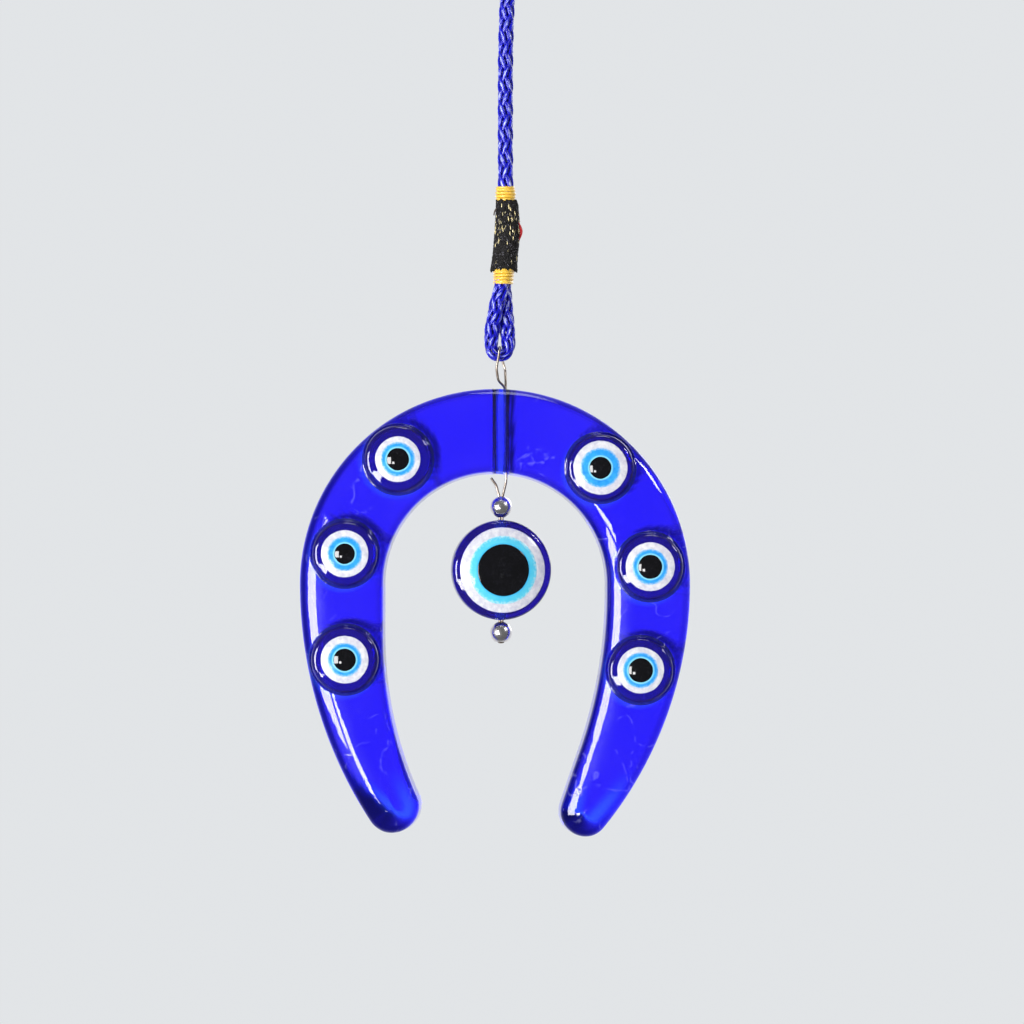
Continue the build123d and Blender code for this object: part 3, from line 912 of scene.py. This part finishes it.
def sleeve_points(around, rows):
    """The wrap's outer face with a soft uneven surface, a slanted top edge and a ragged lower edge."""
    top, bottom = BINDINGS["glitter_sleeve"][0][2] * MM, BINDINGS["glitter_sleeve"][-1][2] * MM
    verts = []
    for k in range(rows):
        share = k / (rows - 1)
        for i in range(around):
            angle = 2 * math.pi * i / around
            high = top - 0.22 * MM * (1 + math.cos(angle)) / 2
            low = bottom + 0.30 * MM * noise.noise(Vector((math.cos(angle) * 2.2, math.sin(angle) * 2.2, 4.0)))
            low += 0.45 * MM * abs(math.sin(angle))
            z = high + (low - high) * share
            x, y, wide, deep = section_at("glitter_sleeve", z)
            spot = Vector((math.cos(angle) * 2.0, math.sin(angle) * 2.0, z / MM * 0.45))
            swell = (0.10 * noise.noise(spot) + 0.06 * noise.noise(spot * 3.1) - 0.12) * MM
            flare = 0.12 * MM * max(0.0, share - 0.9) * 10
            grown_by = swell + flare
            verts.append((x + (wide + grown_by) * math.cos(angle), y + (deep + grown_by) * math.sin(angle), z))
    return verts


def inward(verts, around, row, share):
    """A ring like one of the rows, drawn in towards its middle."""
    ring = np.array(verts[row * around:(row + 1) * around])
    return ring.mean(0) + (ring - ring.mean(0)) * share


SLEEVE_AROUND, SLEEVE_ROWS = 72, 70
GOLD_BANDS = [(-86.0, 2.0, 1.0), (-92.2, 0.6, 0.25), (-81.8, 0.6, 0.25)]  # height, reach and strength, in mm


def gold_weight(x, y, z):
    """How thick the glitter lies at a place: in bands, and in patches within them."""
    band = sum(strength * math.exp(-(((z / MM - middle) / reach) ** 2)) for middle, reach, strength in GOLD_BANDS)
    return 0.01 + band * max(0.0, noise.noise(Vector((x, y, z)) / (1.6 * MM)) + 0.55)


def make_sleeve():
    around, rows = SLEEVE_AROUND, SLEEVE_ROWS
    verts = sleeve_points(around, rows)
    first = [tuple(p) for p in inward(verts, around, 0, 0.72)]
    last = [tuple(p) for p in inward(verts, around, rows - 1, 0.80)]
    faces = ring_faces(rows + 2, around)
    body = piece("sleeve_cloth", first + verts + last, faces, WRAP, "cord")
    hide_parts("glitter_sleeve")

    def flecks(name, material, weights, **settings):
        data = bpy.data.meshes.new("base")
        data.from_pydata(verts, [], [f[::-1] for f in ring_faces(rows, around, closed_ends=False)])
        point_values(data, "weight", weights)
        data = grown(bare_object(data), FLECK_TREE, Material=material, **settings)
        placed(name, data, material, "cord")

    evenly_laid = np.ones(len(verts))
    flecks("sleeve_stitches", WRAP, evenly_laid, Density=2.2e7, Seed=3, Length=0.95 * MM, Width=0.30 * MM,
           Lift=0.01 * MM, Tilt=0.35)
    flecks("sleeve_glitter", GOLD, [gold_weight(*v) for v in verts], Density=4.2e6, Seed=11, Length=1.0 * MM,
           Width=0.20 * MM, Lift=0.10 * MM, Tilt=0.16)
    flecks("sleeve_lint", LINT, evenly_laid, Density=1.6e6, Seed=23, Length=0.30 * MM, Width=0.13 * MM,
           Lift=0.17 * MM, Tilt=1.4)


make_sleeve()

# ---------------------------------------------------------------- loose thread ends

RED_ROUTE = [(0.00345, -0.0013, -0.0846), (0.00400, -0.0015, -0.0857), (0.00405, -0.0012, -0.0869),
             (0.00360, -0.0009, -0.0880)]
BROWN_ROUTE = [(-0.00085, -0.0022, -0.0818), (-0.00135, -0.0024, -0.0822), (-0.00140, -0.0025, -0.0832)]


def tuft(name, node, route, spread, fibres, thickness, material):
    """A short thread end of several filaments, bunched at its ends and fuller in the middle."""
    points, along = evenly(line_points(route), 0.12 * MM)
    side, other, _ = frames_along(points)
    rng = random.Random(name)
    share = along / along[-1]
    full = spread * (0.35 + 0.65 * np.sin(math.pi * share))
    runs = []
    for k in range(fibres):
        angle = 2 * math.pi * k / fibres + rng.uniform(-0.4, 0.4) + share * rng.uniform(1.0, 2.5)
        far = full * rng.uniform(0.5, 1.0)
        runs.append(points + side * (np.cos(angle) * far)[:, None] + other * (np.sin(angle) * far)[:, None])
    obj = thread_piece(name, runs, thickness, material, "cord", sides=6)
    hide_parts(node)


tuft("red_thread_tuft", "red_thread_end", RED_ROUTE, 0.26 * MM, 9, 0.11 * MM, RED)
tuft("brown_thread_tuft", "brown_thread_end", BROWN_ROUTE, 0.10 * MM, 4, 0.09 * MM, BROWN)

# ---------------------------------------------------------------- horseshoe glass

CROWN = Vector((-1.2 * MM, 0, -156.8 * MM))
OUTER_R, INNER_R = 39.1 * MM, 21.95 * MM
FRONT_Y, BACK_Y = -4.25 * MM, 4.25 * MM
FRONT_ROUND, BACK_ROUND = 2.4 * MM, 0.8 * MM
FRONT_REACH = 4.8 * MM  # the front's round is wider than it is deep
BORE_R = 1.8 * MM
OUTER_DRAFT, INNER_DRAFT = 0.12 * MM, 0.42 * MM  # the open back of the mould is wider than its floor
SHOULDER_FALL, SHOULDER_REACH = 0.25 * MM, 4.0 * MM
# Outer radius, drop of the inner arc's centre, inner radius, inner arc in degrees, tip radius; left and right
LIMBS = {-1: (86.7, 10.6, 76.6, 23.5, 5.6), 1: (77.4, 1.7, 94.9, 18.8, 5.15)}
EYE_PLACES = ["upper_left", "upper_right", "middle_left", "middle_right", "lower_left", "lower_right"]


def limb_sides(side, count, tip_count):
    """Outer points, inner points, and the tip's points and centre, of one limb, down from the crown."""
    outer_r, drop, inner_r, bend, tip_r = LIMBS[side]
    outer_r, drop, inner_r, tip_r = outer_r * MM, drop * MM, inner_r * MM, tip_r * MM
    bend = math.radians(bend)

    def inner_arc(angle):
        return np.array([INNER_R - inner_r + inner_r * math.cos(angle), -drop - inner_r * math.sin(angle)])

    along = np.array([-math.sin(bend), -math.cos(bend)])
    outward = np.array([math.cos(bend), -math.sin(bend)])
    hub = np.array([OUTER_R - outer_r, 0.0])
    start = inner_arc(bend) + outward * tip_r
    away = start - hub
    half = -away @ along
    reach = half + math.sqrt(half**2 - away @ away + (outer_r - tip_r) ** 2)
    tip = start + along * reach
    to_outer = (tip - hub) / np.linalg.norm(tip - hub)
    end = math.atan2(-to_outer[1], to_outer[0])
    outer = [hub + outer_r * np.array([math.cos(a), -math.sin(a)]) for a in np.linspace(0, end, count)]
    inner_line = [np.array([INNER_R, 0.0])] + [inner_arc(a) for a in np.linspace(0, bend, 40)]
    inner_line.append(tip - outward * tip_r)
    flat = np.array([[p[0], 0.0, p[1]] for p in inner_line])
    inner = evenly(flat, count=count)[0][:, [0, 2]]
    first = math.atan2(to_outer[1], to_outer[0])
    last = math.atan2(-outward[1], -outward[0])
    last = last - 2 * math.pi if last > first else last
    round_tip = [tip + tip_r * np.array([math.cos(a), math.sin(a)]) for a in np.linspace(first, last, tip_count + 2)]

    def place(rows):
        return [np.array([CROWN.x + side * u, CROWN.z + v]) for u, v in rows]

    return place(outer), place(inner), place(round_tip[1:-1]), place([tip])[0]


def horseshoe_outline():
    """The closed outline as X, Z points, and for each the point of the middle line that it faces."""
    crown_count, limb_count, tip_count, pulled_count = 80, 110, 34, 40
    left_outer, left_inner, left_tip, left_hub = limb_sides(-1, limb_count, tip_count)
    right_outer, right_inner, right_tip, right_hub = limb_sides(1, limb_count, tip_count)

    def crown(radius, angles):
        return [np.array([CROWN.x + radius * math.cos(a), CROWN.z + radius * math.sin(a)]) for a in angles]

    angles = np.linspace(math.pi, 0, 2 * crown_count + 1)
    outer, inner = crown(OUTER_R, angles), crown(INNER_R, angles)
    run_outer = left_outer[:0:-1] + outer + right_outer[1:]
    run_inner = left_inner[:0:-1] + inner + right_inner[1:]
    centre = [(a + b) / 2 for a, b in zip(run_outer, run_inner)]
    # The middle line ends at the tips' centres
    for step in range(pulled_count):
        pull = (1 - step / pulled_count) ** 2
        for index, hub in ((step, left_hub), (-1 - step, right_hub)):
            centre[index] = centre[index] * (1 - pull) + hub * pull
    edge = run_outer + right_tip + run_inner[::-1] + left_tip[::-1]
    middle = centre + [right_hub] * tip_count + centre[::-1] + [left_hub] * tip_count
    return np.array(edge), np.array(middle)


def eye_seats():
    """Centre X, Z and radius of each boss, from the CAD."""
    seats = {}
    for place in EYE_PLACES:
        low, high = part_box(f"{place}_boss")
        seats[place] = ((low.x + high.x) / 2, (low.z + high.z) / 2, (high.x - low.x) / 2)
    return seats


SEATS = eye_seats()


def smooth(value, low, high):
    """0 below low and 1 above high, with a soft change between."""
    share = min(1.0, max(0.0, (value - low) / (high - low)))
    return share * share * (3 - 2 * share)


def outward_of(edge):
    """The direction that each point of the outline faces."""
    run = np.roll(edge, -1, axis=0) - np.roll(edge, 1, axis=0)
    return np.stack([-run[:, 1], run[:, 0]], axis=1) / np.linalg.norm(run, axis=1)[:, None]


def within(value, rise_low, rise_high, fall_low, fall_high):
    """1 between two soft ends and 0 outside them."""
    return smooth(value, rise_low, rise_high) * (1 - smooth(value, fall_low, fall_high))


def edge_tones(x, z, edge, outward):
    """The tones that follow the outline: painted shade in bands inside the edges, darkest where they face left and
    at the tips where they face down, painted light in the tips' bright hearts, and the haze on the left limbs.
    """
    gaps = np.hypot(edge[:, 0] - x, edge[:, 1] - z)
    nearest = int(gaps.argmin())
    depth, faces_left, faces_down = gaps[nearest], -outward[nearest][0], -outward[nearest][1]
    tip = smooth(-z, 193 * MM, 203 * MM)
    lean = max(0.0, 0.5 * faces_left + 0.85 * faces_down)
    wide = (1.3 + 3.4 * tip * lean) * MM
    band = within(depth, 0.15 * MM, 0.45 * MM, wide - 0.2 * MM, wide + 0.7 * MM)
    # Painted shade along the tips' lowest edges
    rim = smooth(-z, 200 * MM, 204 * MM) * (1 - smooth(depth, 1.4 * MM, 2.6 * MM))
    shade = band * max(0.35, min(1.0, 1.15 * faces_left), 0.95 * tip * lean)
    shade = max(shade, 0.95 * rim * max(0.0, faces_down))
    # Painted light in the tips' hearts
    glow = tip * math.exp(-(((depth - wide - 1.3 * MM) / (1.1 * MM)) ** 2))
    on_limb = within(-z, 146 * MM, 156 * MM, 192 * MM, 200 * MM)
    veil = on_limb * max(0.0, faces_left) * math.exp(-(((depth - 3.6 * MM) / (1.6 * MM)) ** 2))
    return shade, glow, veil


def boss_tones(x, z, seat):
    """A painted shadow beside a boss, to its upper right, and painted light on the glass at its lower left."""
    cx, cz, radius = seat
    to = math.hypot(x - cx, z - cz)
    if to <= radius - 0.5 * MM:
        return 0.0, 0.0
    moved = math.hypot(x - cx - 1.0 * MM, z - cz - 0.8 * MM)
    low = math.hypot(x - cx + 0.5 * MM, z - cz + 0.6 * MM)
    inside = 1 - smooth(moved, radius + 0.3 * MM, radius + 0.9 * MM)
    shade = 0.8 * inside * smooth(to, radius + 0.2 * MM, radius + 0.6 * MM)
    return shade, 0.45 * (1 - smooth(low, radius + 0.2 * MM, radius + 0.9 * MM))


def tones_of(point, edge, outward):
    """Three numbers for the glass at a point: its painted shade, its painted light, and how hazy it is."""
    x, z = point.x, point.z
    over_bore = z > CROWN.z + INNER_R - MM
    # The bore's wall: painted shade at its sides and painted light along its middle
    if over_bore and abs(math.hypot(x, point.y) - BORE_R) < 0.02 * MM:
        dark = smooth(abs(x), 0.45 * BORE_R, 0.6 * BORE_R)
        return dark, 1.0 - dark, 0.0
    shade, glow, veil = edge_tones(x, z, edge, outward)
    # A painted shadow band beside the bore, to its right
    if over_bore:
        shade = max(shade, 0.9 * within(x, 1.5 * MM, 1.8 * MM, 2.4 * MM, 2.8 * MM))
    for seat in SEATS.values():
        boss_shade, boss_glow = boss_tones(x, z, seat)
        shade, glow = max(shade, boss_shade), max(glow, boss_glow)
    return shade, glow, veil


def shoulder(depth):
    """How far the front falls away near the edge, past its round."""
    return SHOULDER_FALL * np.exp(-((depth / SHOULDER_REACH) ** 2))


def front_fall(x, z, edge):
    """How far the front lies behind its highest level at a place."""
    depth = max(0.0, np.hypot(edge[:, 0] - x, edge[:, 1] - z).min() - OUTER_DRAFT)
    into = 1 - min(1.0, depth / FRONT_REACH)
    return FRONT_ROUND * (1 - math.sqrt(1 - into**2)) + float(shoulder(depth))


def draft_of(edge):
    """How far each point of the outline leans in towards the front: more round the inside of the arch."""
    to_middle = np.stack([CROWN.x - edge[:, 0], np.minimum(0.0, CROWN.z - edge[:, 1])], axis=1)
    to_middle /= np.linalg.norm(to_middle, axis=1)[:, None]
    inner = np.clip(np.sum(outward_of(edge) * to_middle, axis=1) + 0.3, 0, 1)
    return OUTER_DRAFT + (INNER_DRAFT - OUTER_DRAFT) * inner


def horseshoe_mesh():
    """Rings from the middle line at the back, out over the edge and in to the middle line at the front."""
    edge, middle = horseshoe_outline()
    count = len(edge)
    reach = np.linalg.norm(middle - edge, axis=1)
    lean = draft_of(edge)
    rows = []
    angles = np.linspace(0, math.pi / 2, 10)
    back = [(BACK_ROUND * (1 - math.cos(a)), BACK_Y - BACK_ROUND * (1 - math.sin(a))) for a in angles[::2]]
    front = [(FRONT_REACH * (1 - math.cos(a)), FRONT_Y + FRONT_ROUND * (1 - math.sin(a))) for a in angles]
    flat_back = np.linspace(0, 1, 7)[1:]
    flat_front = np.linspace(0, 1, 15)[1:]

    def ring(depth, y):
        share = np.minimum(depth / reach, 1.0)
        return edge + (middle - edge) * share[:, None], np.broadcast_to(y, count)

    for share in flat_back[::-1]:
        depth = BACK_ROUND + (reach - BACK_ROUND) * share
        rows.append(ring(depth, BACK_Y))
    rows += [ring(np.full(count, depth), y) for depth, y in back[::-1]]
    wall = np.linspace(back[0][1], front[0][1], 6)
    rows += [ring(lean * k / 5, wall[k]) for k in range(1, 5)]
    rows += [ring(lean + depth, y + shoulder(depth)) for depth, y in front]
    for share in flat_front:
        depth = FRONT_REACH + lean + (reach - FRONT_REACH - lean) * share
        rows.append(ring(depth, FRONT_Y + shoulder(depth - lean)))
    verts = []
    for flat, y in rows:
        verts.extend((p[0], h, p[1]) for p, h in zip(flat, y))
    return verts, ring_faces(len(rows), count, closed_ends=False)


OUTLINE = horseshoe_outline()[0]


def make_horseshoe():
    verts, faces = horseshoe_mesh()
    slow = wander(verts, 11 * MM, 1)
    quick = wander(verts, 4 * MM, 2)
    shaped = []
    for (x, y, z), a, b in zip(verts, slow, quick):
        front_share = min(1.0, max(0.0, (BACK_Y - y) / (BACK_Y - FRONT_Y)))
        shaped.append((x, y + (0.10 * abs(a) + 0.03 * abs(b)) * MM * front_share, z))
    glass = piece("glass_horseshoe", shaped, faces, GLASS, "horseshoe")
    drill(glass, BORE_R, (0, 0, CROWN.z + (OUTER_R + INNER_R) / 2), 30 * MM, 64)
    outward = outward_of(OUTLINE)
    tones = np.array([tones_of(v.co, OUTLINE, outward) for v in glass.data.vertices])
    for name, column in zip(("shade", "glow", "veil"), tones.T):
        point_values(glass.data, name, column)
    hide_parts("horseshoe_glass")


make_horseshoe()

# ---------------------------------------------------------------- eyes


def cap_height(r, height, cap_r):
    """How high a dome of this height and cap radius is at a distance from its middle."""
    return height - cap_r + math.sqrt(cap_r**2 - r**2)


def turned(profile, seat, around, ripple, top):
    """Points of a lathed closed shape from (r, h) pairs, top middle to bottom middle, set on a seat."""
    rings = []
    widest = max(r for r, h in profile)
    for r, h in profile:
        for i in range(around):
            angle = 2 * math.pi * i / around
            out = r * (1.0 + (ripple(angle) * r / widest if ripple else 0.0))
            high = h + (top(out) - top(r) if top else 0.0)
            rings.append(seat @ Vector((out * math.cos(angle), out * math.sin(angle), high)))
    return rings


def lathed_piece(name, profile, seat, around, material, body, ripple=None, top=None, inner=None):
    """A lathed piece. Its points know how far they are from the middle, and how near to an inner edge."""
    verts = turned(profile, seat, around, ripple, top)
    obj = piece(name, verts, ring_faces(len(profile), around, closed_ends=False), material, body)
    inverse = seat.inverted()
    widest = max(r for r, h in profile)
    flat = [math.hypot(p.x, p.y) for p in (inverse @ v.co for v in obj.data.vertices)]
    flat = np.array(flat)
    point_values(obj.data, "from_middle", np.minimum(flat / widest, 1.0))
    if inner:
        point_values(obj.data, "near_inner", np.clip(1.0 - (flat - inner) / INNER_RING, 0.0, 1.0))
    return obj


def rim_ripple(seed, size, teeth):
    """An uneven outline, as poured glass has: a slow wander and fine teeth."""

    def ripple(angle):
        spot = Vector((math.cos(angle), math.sin(angle), seed * 5.3))
        return size * noise.noise(spot * 1.6) + teeth * noise.noise(spot * 14.0)

    return ripple


def coin_profile(radius, top, sunk, lift, edge):
    """A thin layer: its top follows the dome, a little proud, and its rim rounds down to its sunk foot."""
    rows = [(radius * f, top(radius * f) + lift) for f in np.linspace(0, 0.9, 19)]
    for a in np.linspace(0, math.pi / 2, 5):
        r = radius - edge + edge * math.sin(a)
        rows.append((r, top(r) + lift - edge * (1 - math.cos(a)) * 0.6))
    low = top(radius) - sunk
    return rows + [(radius, low), (radius * 0.5, low), (0.0, low)]


def dome_profile(radius, height, cap_r, base, edge):
    """A boss: a low dome with a rounded rim, and a thin foot that runs out over the glass round it."""
    rows = [(radius * f, cap_height(radius * f, height, cap_r)) for f in np.linspace(0, 0.8, 10)]
    rim = cap_height(radius - edge, height, cap_r)
    for a in np.linspace(0.12, math.pi / 2, 9):
        rows.append((radius - edge + edge * math.sin(a), rim - edge + edge * math.cos(a)))
    low = min(rim - edge, FOOT_HEIGHT)
    for a in np.linspace(0.0, math.pi / 2, 7)[1:]:
        rows.append((radius + FOOT_REACH * (1 - math.cos(a)), low * (1 - math.sin(a))))
    return rows + [(radius + FOOT_REACH, -0.15 * MM), (radius, -0.3 * MM), (radius, base), (radius * 0.5, base),
                   (0.0, base)]


def seat_on(x, y, z, turn=0.0, flip=False):
    """The place of a lathed shape whose axis points to the front, or to the back."""
    matrix = Matrix.Translation((x, y, z)) @ Matrix.Rotation(math.radians(turn), 4, "Z")
    matrix = matrix @ Matrix.Rotation(math.radians(90), 4, "X")
    return matrix @ Matrix.Rotation(math.pi, 4, "X") if flip else matrix


def half_width(node):
    """Half the width of a CAD node."""
    low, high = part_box(node)
    return (high.x - low.x) / 2


INNER_RING = 0.45 * MM  # width of the paler ring next to a pupil
BOSS_HEIGHT, BOSS_CAP_R, BOSS_EDGE, BOSS_SUNK = 2.3 * MM, 22.0 * MM, 1.1 * MM, 1.5 * MM
FOOT_REACH, FOOT_HEIGHT = 0.55 * MM, 0.30 * MM
LAYER_SUNK, PUPIL_SUNK, PUPIL_PROUD = 0.5 * MM, 0.4 * MM, 0.35 * MM
BOSS_LAYERS = [  # name, finish, slot, how proud it stands, and its rim's slow and fine unevenness
    ("white", WHITE, "white_glass", 0.02 * MM, 0.020, 0.010),
    ("blue", LIGHT_BLUE, "light_blue_glass", 0.05 * MM, 0.025, 0.035),
]


def boss_top(r):
    return cap_height(r, BOSS_HEIGHT, BOSS_CAP_R)


def make_boss_glass(place, seat):
    """The glass of a boss. Its foot follows the fall of the horseshoe's front."""
    x, z, radius = SEATS[place]
    profile = dome_profile(radius, BOSS_HEIGHT, BOSS_CAP_R, -BOSS_SUNK, BOSS_EDGE)
    boss = lathed_piece(f"boss_{place}", profile, seat, 96, DARK_GLASS, "horseshoe")
    # Painted light: the lower left of the rim and the thin foot are painted a brighter blue
    glow = []
    for v in boss.data.vertices:
        across, up = v.co.x - x, v.co.z - z
        low_left = max(0.0, -(across + up) / (1.414 * radius))
        glow.append(0.35 * smooth(low_left, 0.75, 1.0))
        if math.hypot(across, up) > radius + 0.01 * MM:
            v.co.y += front_fall(v.co.x, v.co.z, OUTLINE)
            glow[-1] = 0.5
    point_values(boss.data, "glow", glow)
    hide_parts(f"{place}_boss")


def make_boss(place, number):
    x, z, _ = SEATS[place]
    seat = seat_on(x, FRONT_Y, z)
    make_boss_glass(place, seat)
    pupil_r = half_width(f"{place}_pupil")
    for step, (layer, material, slot, lift, size, teeth) in enumerate(BOSS_LAYERS):
        node = f"{place}_{layer}"
        profile = coin_profile(half_width(node), boss_top, LAYER_SUNK, lift, 0.12 * MM)
        ripple = rim_ripple(number * 3 + step, size, teeth)
        obj = lathed_piece(f"eye_{node}", profile, seat, 128, material, "horseshoe", ripple, boss_top, pupil_r)
        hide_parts(node)
    node = f"{place}_pupil"
    height = boss_top(0) + PUPIL_PROUD
    rise = height - boss_top(pupil_r)
    cap_r = (pupil_r**2 + rise**2) / (2 * rise)
    profile = coin_profile(pupil_r, lambda r: cap_height(r, height, cap_r), PUPIL_SUNK, 0.05 * MM, 0.15 * MM)
    obj = lathed_piece(f"eye_{node}", profile, seat, 96, BLACK, "horseshoe",
                       rim_ripple(number * 3 + 2, 0.02, 0.0))
    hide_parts(node)


for number, place in enumerate(EYE_PLACES):
    make_boss(place, number)

# ---------------------------------------------------------------- eye bead

BEAD_Z, BEAD_R, BEAD_HALF, BEAD_CAP_R, BEAD_RIM = -154.0 * MM, 10.0 * MM, 4.1 * MM, 21.4 * MM, 1.3 * MM
BEAD_HOLE_R, BEAD_TURN = 0.9 * MM, 8.0
BEAD_LAYERS = [  # name, radius, finish, slot and how proud it stands
    ("white", 8.6 * MM, WHITE, "white_glass", 0.02 * MM),
    ("blue", 6.85 * MM, CYAN, "cyan_glass", 0.05 * MM),
    ("pupil", 5.2 * MM, BLACK, "black_glass", 0.10 * MM),
]


def bead_top(r):
    return cap_height(r, BEAD_HALF, BEAD_CAP_R)


def make_eye_bead():
    seat = seat_on(0, 0, BEAD_Z, BEAD_TURN)
    rows = [(BEAD_R * f, bead_top(BEAD_R * f)) for f in np.linspace(0, 0.86, 16)]
    rim = bead_top(BEAD_R - BEAD_RIM)
    for a in np.linspace(0.35, math.pi / 2, 9):
        rows.append((BEAD_R - BEAD_RIM + BEAD_RIM * math.sin(a), rim - BEAD_RIM + BEAD_RIM * math.cos(a)))
    rows += [(r, -h) for r, h in rows[::-1]]
    glass = lathed_piece("bead_glass", rows, seat, 128, DARK_GLASS, "eye_bead")
    drill(glass, BEAD_HOLE_R, (0, 0, BEAD_Z), 60 * MM, 40)
    # Painted light: the glass next to the hole is painted brighter, as if light piped into it there
    glow = [0.9 * (1 - smooth(abs(v.co.x), 0.7 * MM, 1.4 * MM)) for v in glass.data.vertices]
    point_values(glass.data, "glow", glow)
    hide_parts("eye_bead_glass")
    pupil_r = BEAD_LAYERS[-1][1]
    for face, flip in (("front", False), ("back", True)):
        facing = seat_on(0, 0, BEAD_Z, BEAD_TURN, flip)
        for step, (layer, radius, material, slot, lift) in enumerate(BEAD_LAYERS):
            profile = coin_profile(radius, bead_top, LAYER_SUNK, lift, 0.18 * MM)
            ripple = rim_ripple(40 + step + 7 * flip, 0.012, 0.0)
            obj = lathed_piece(f"bead_{face}_{layer}", profile, facing, 144, material, "eye_bead", ripple,
                               bead_top, pupil_r)
            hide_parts(f"eye_bead_{face}_{layer}")


make_eye_bead()

# ---------------------------------------------------------------- silver beads and wire

for node in ("upper_silver_bead", "lower_silver_bead"):
    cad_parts[node].data.materials[0] = SILVER
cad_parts["hanger_wire"].data.materials[0] = STEEL

# ---------------------------------------------------------------- floor

FLOOR_Z, FLOOR_HALF = -0.30, 0.6


def make_floor():
    material, ins, s, at = finish_of("pale_floor", Roughness=0.7)
    tone = use_group(s, MOTTLE, Vector=at, Scale=30.0, Contrast=0.8,
                     First=(0.80, 0.80, 0.80, 1), Second=(0.84, 0.84, 0.84, 1))
    s.feed(ins["Base Color"], tone["Color"])
    data = bpy.data.meshes.new("floor")
    corners = [(-1, -1), (1, -1), (1, 1), (-1, 1)]
    data.from_pydata([(x * FLOOR_HALF, y * FLOOR_HALF, FLOOR_Z) for x, y in corners], [], [(0, 1, 2, 3)])
    data.materials.append(material)
    floor = bpy.data.objects.new("floor", data)
    bpy.context.scene.collection.objects.link(floor)
    floor.visible_glossy = False


make_floor()
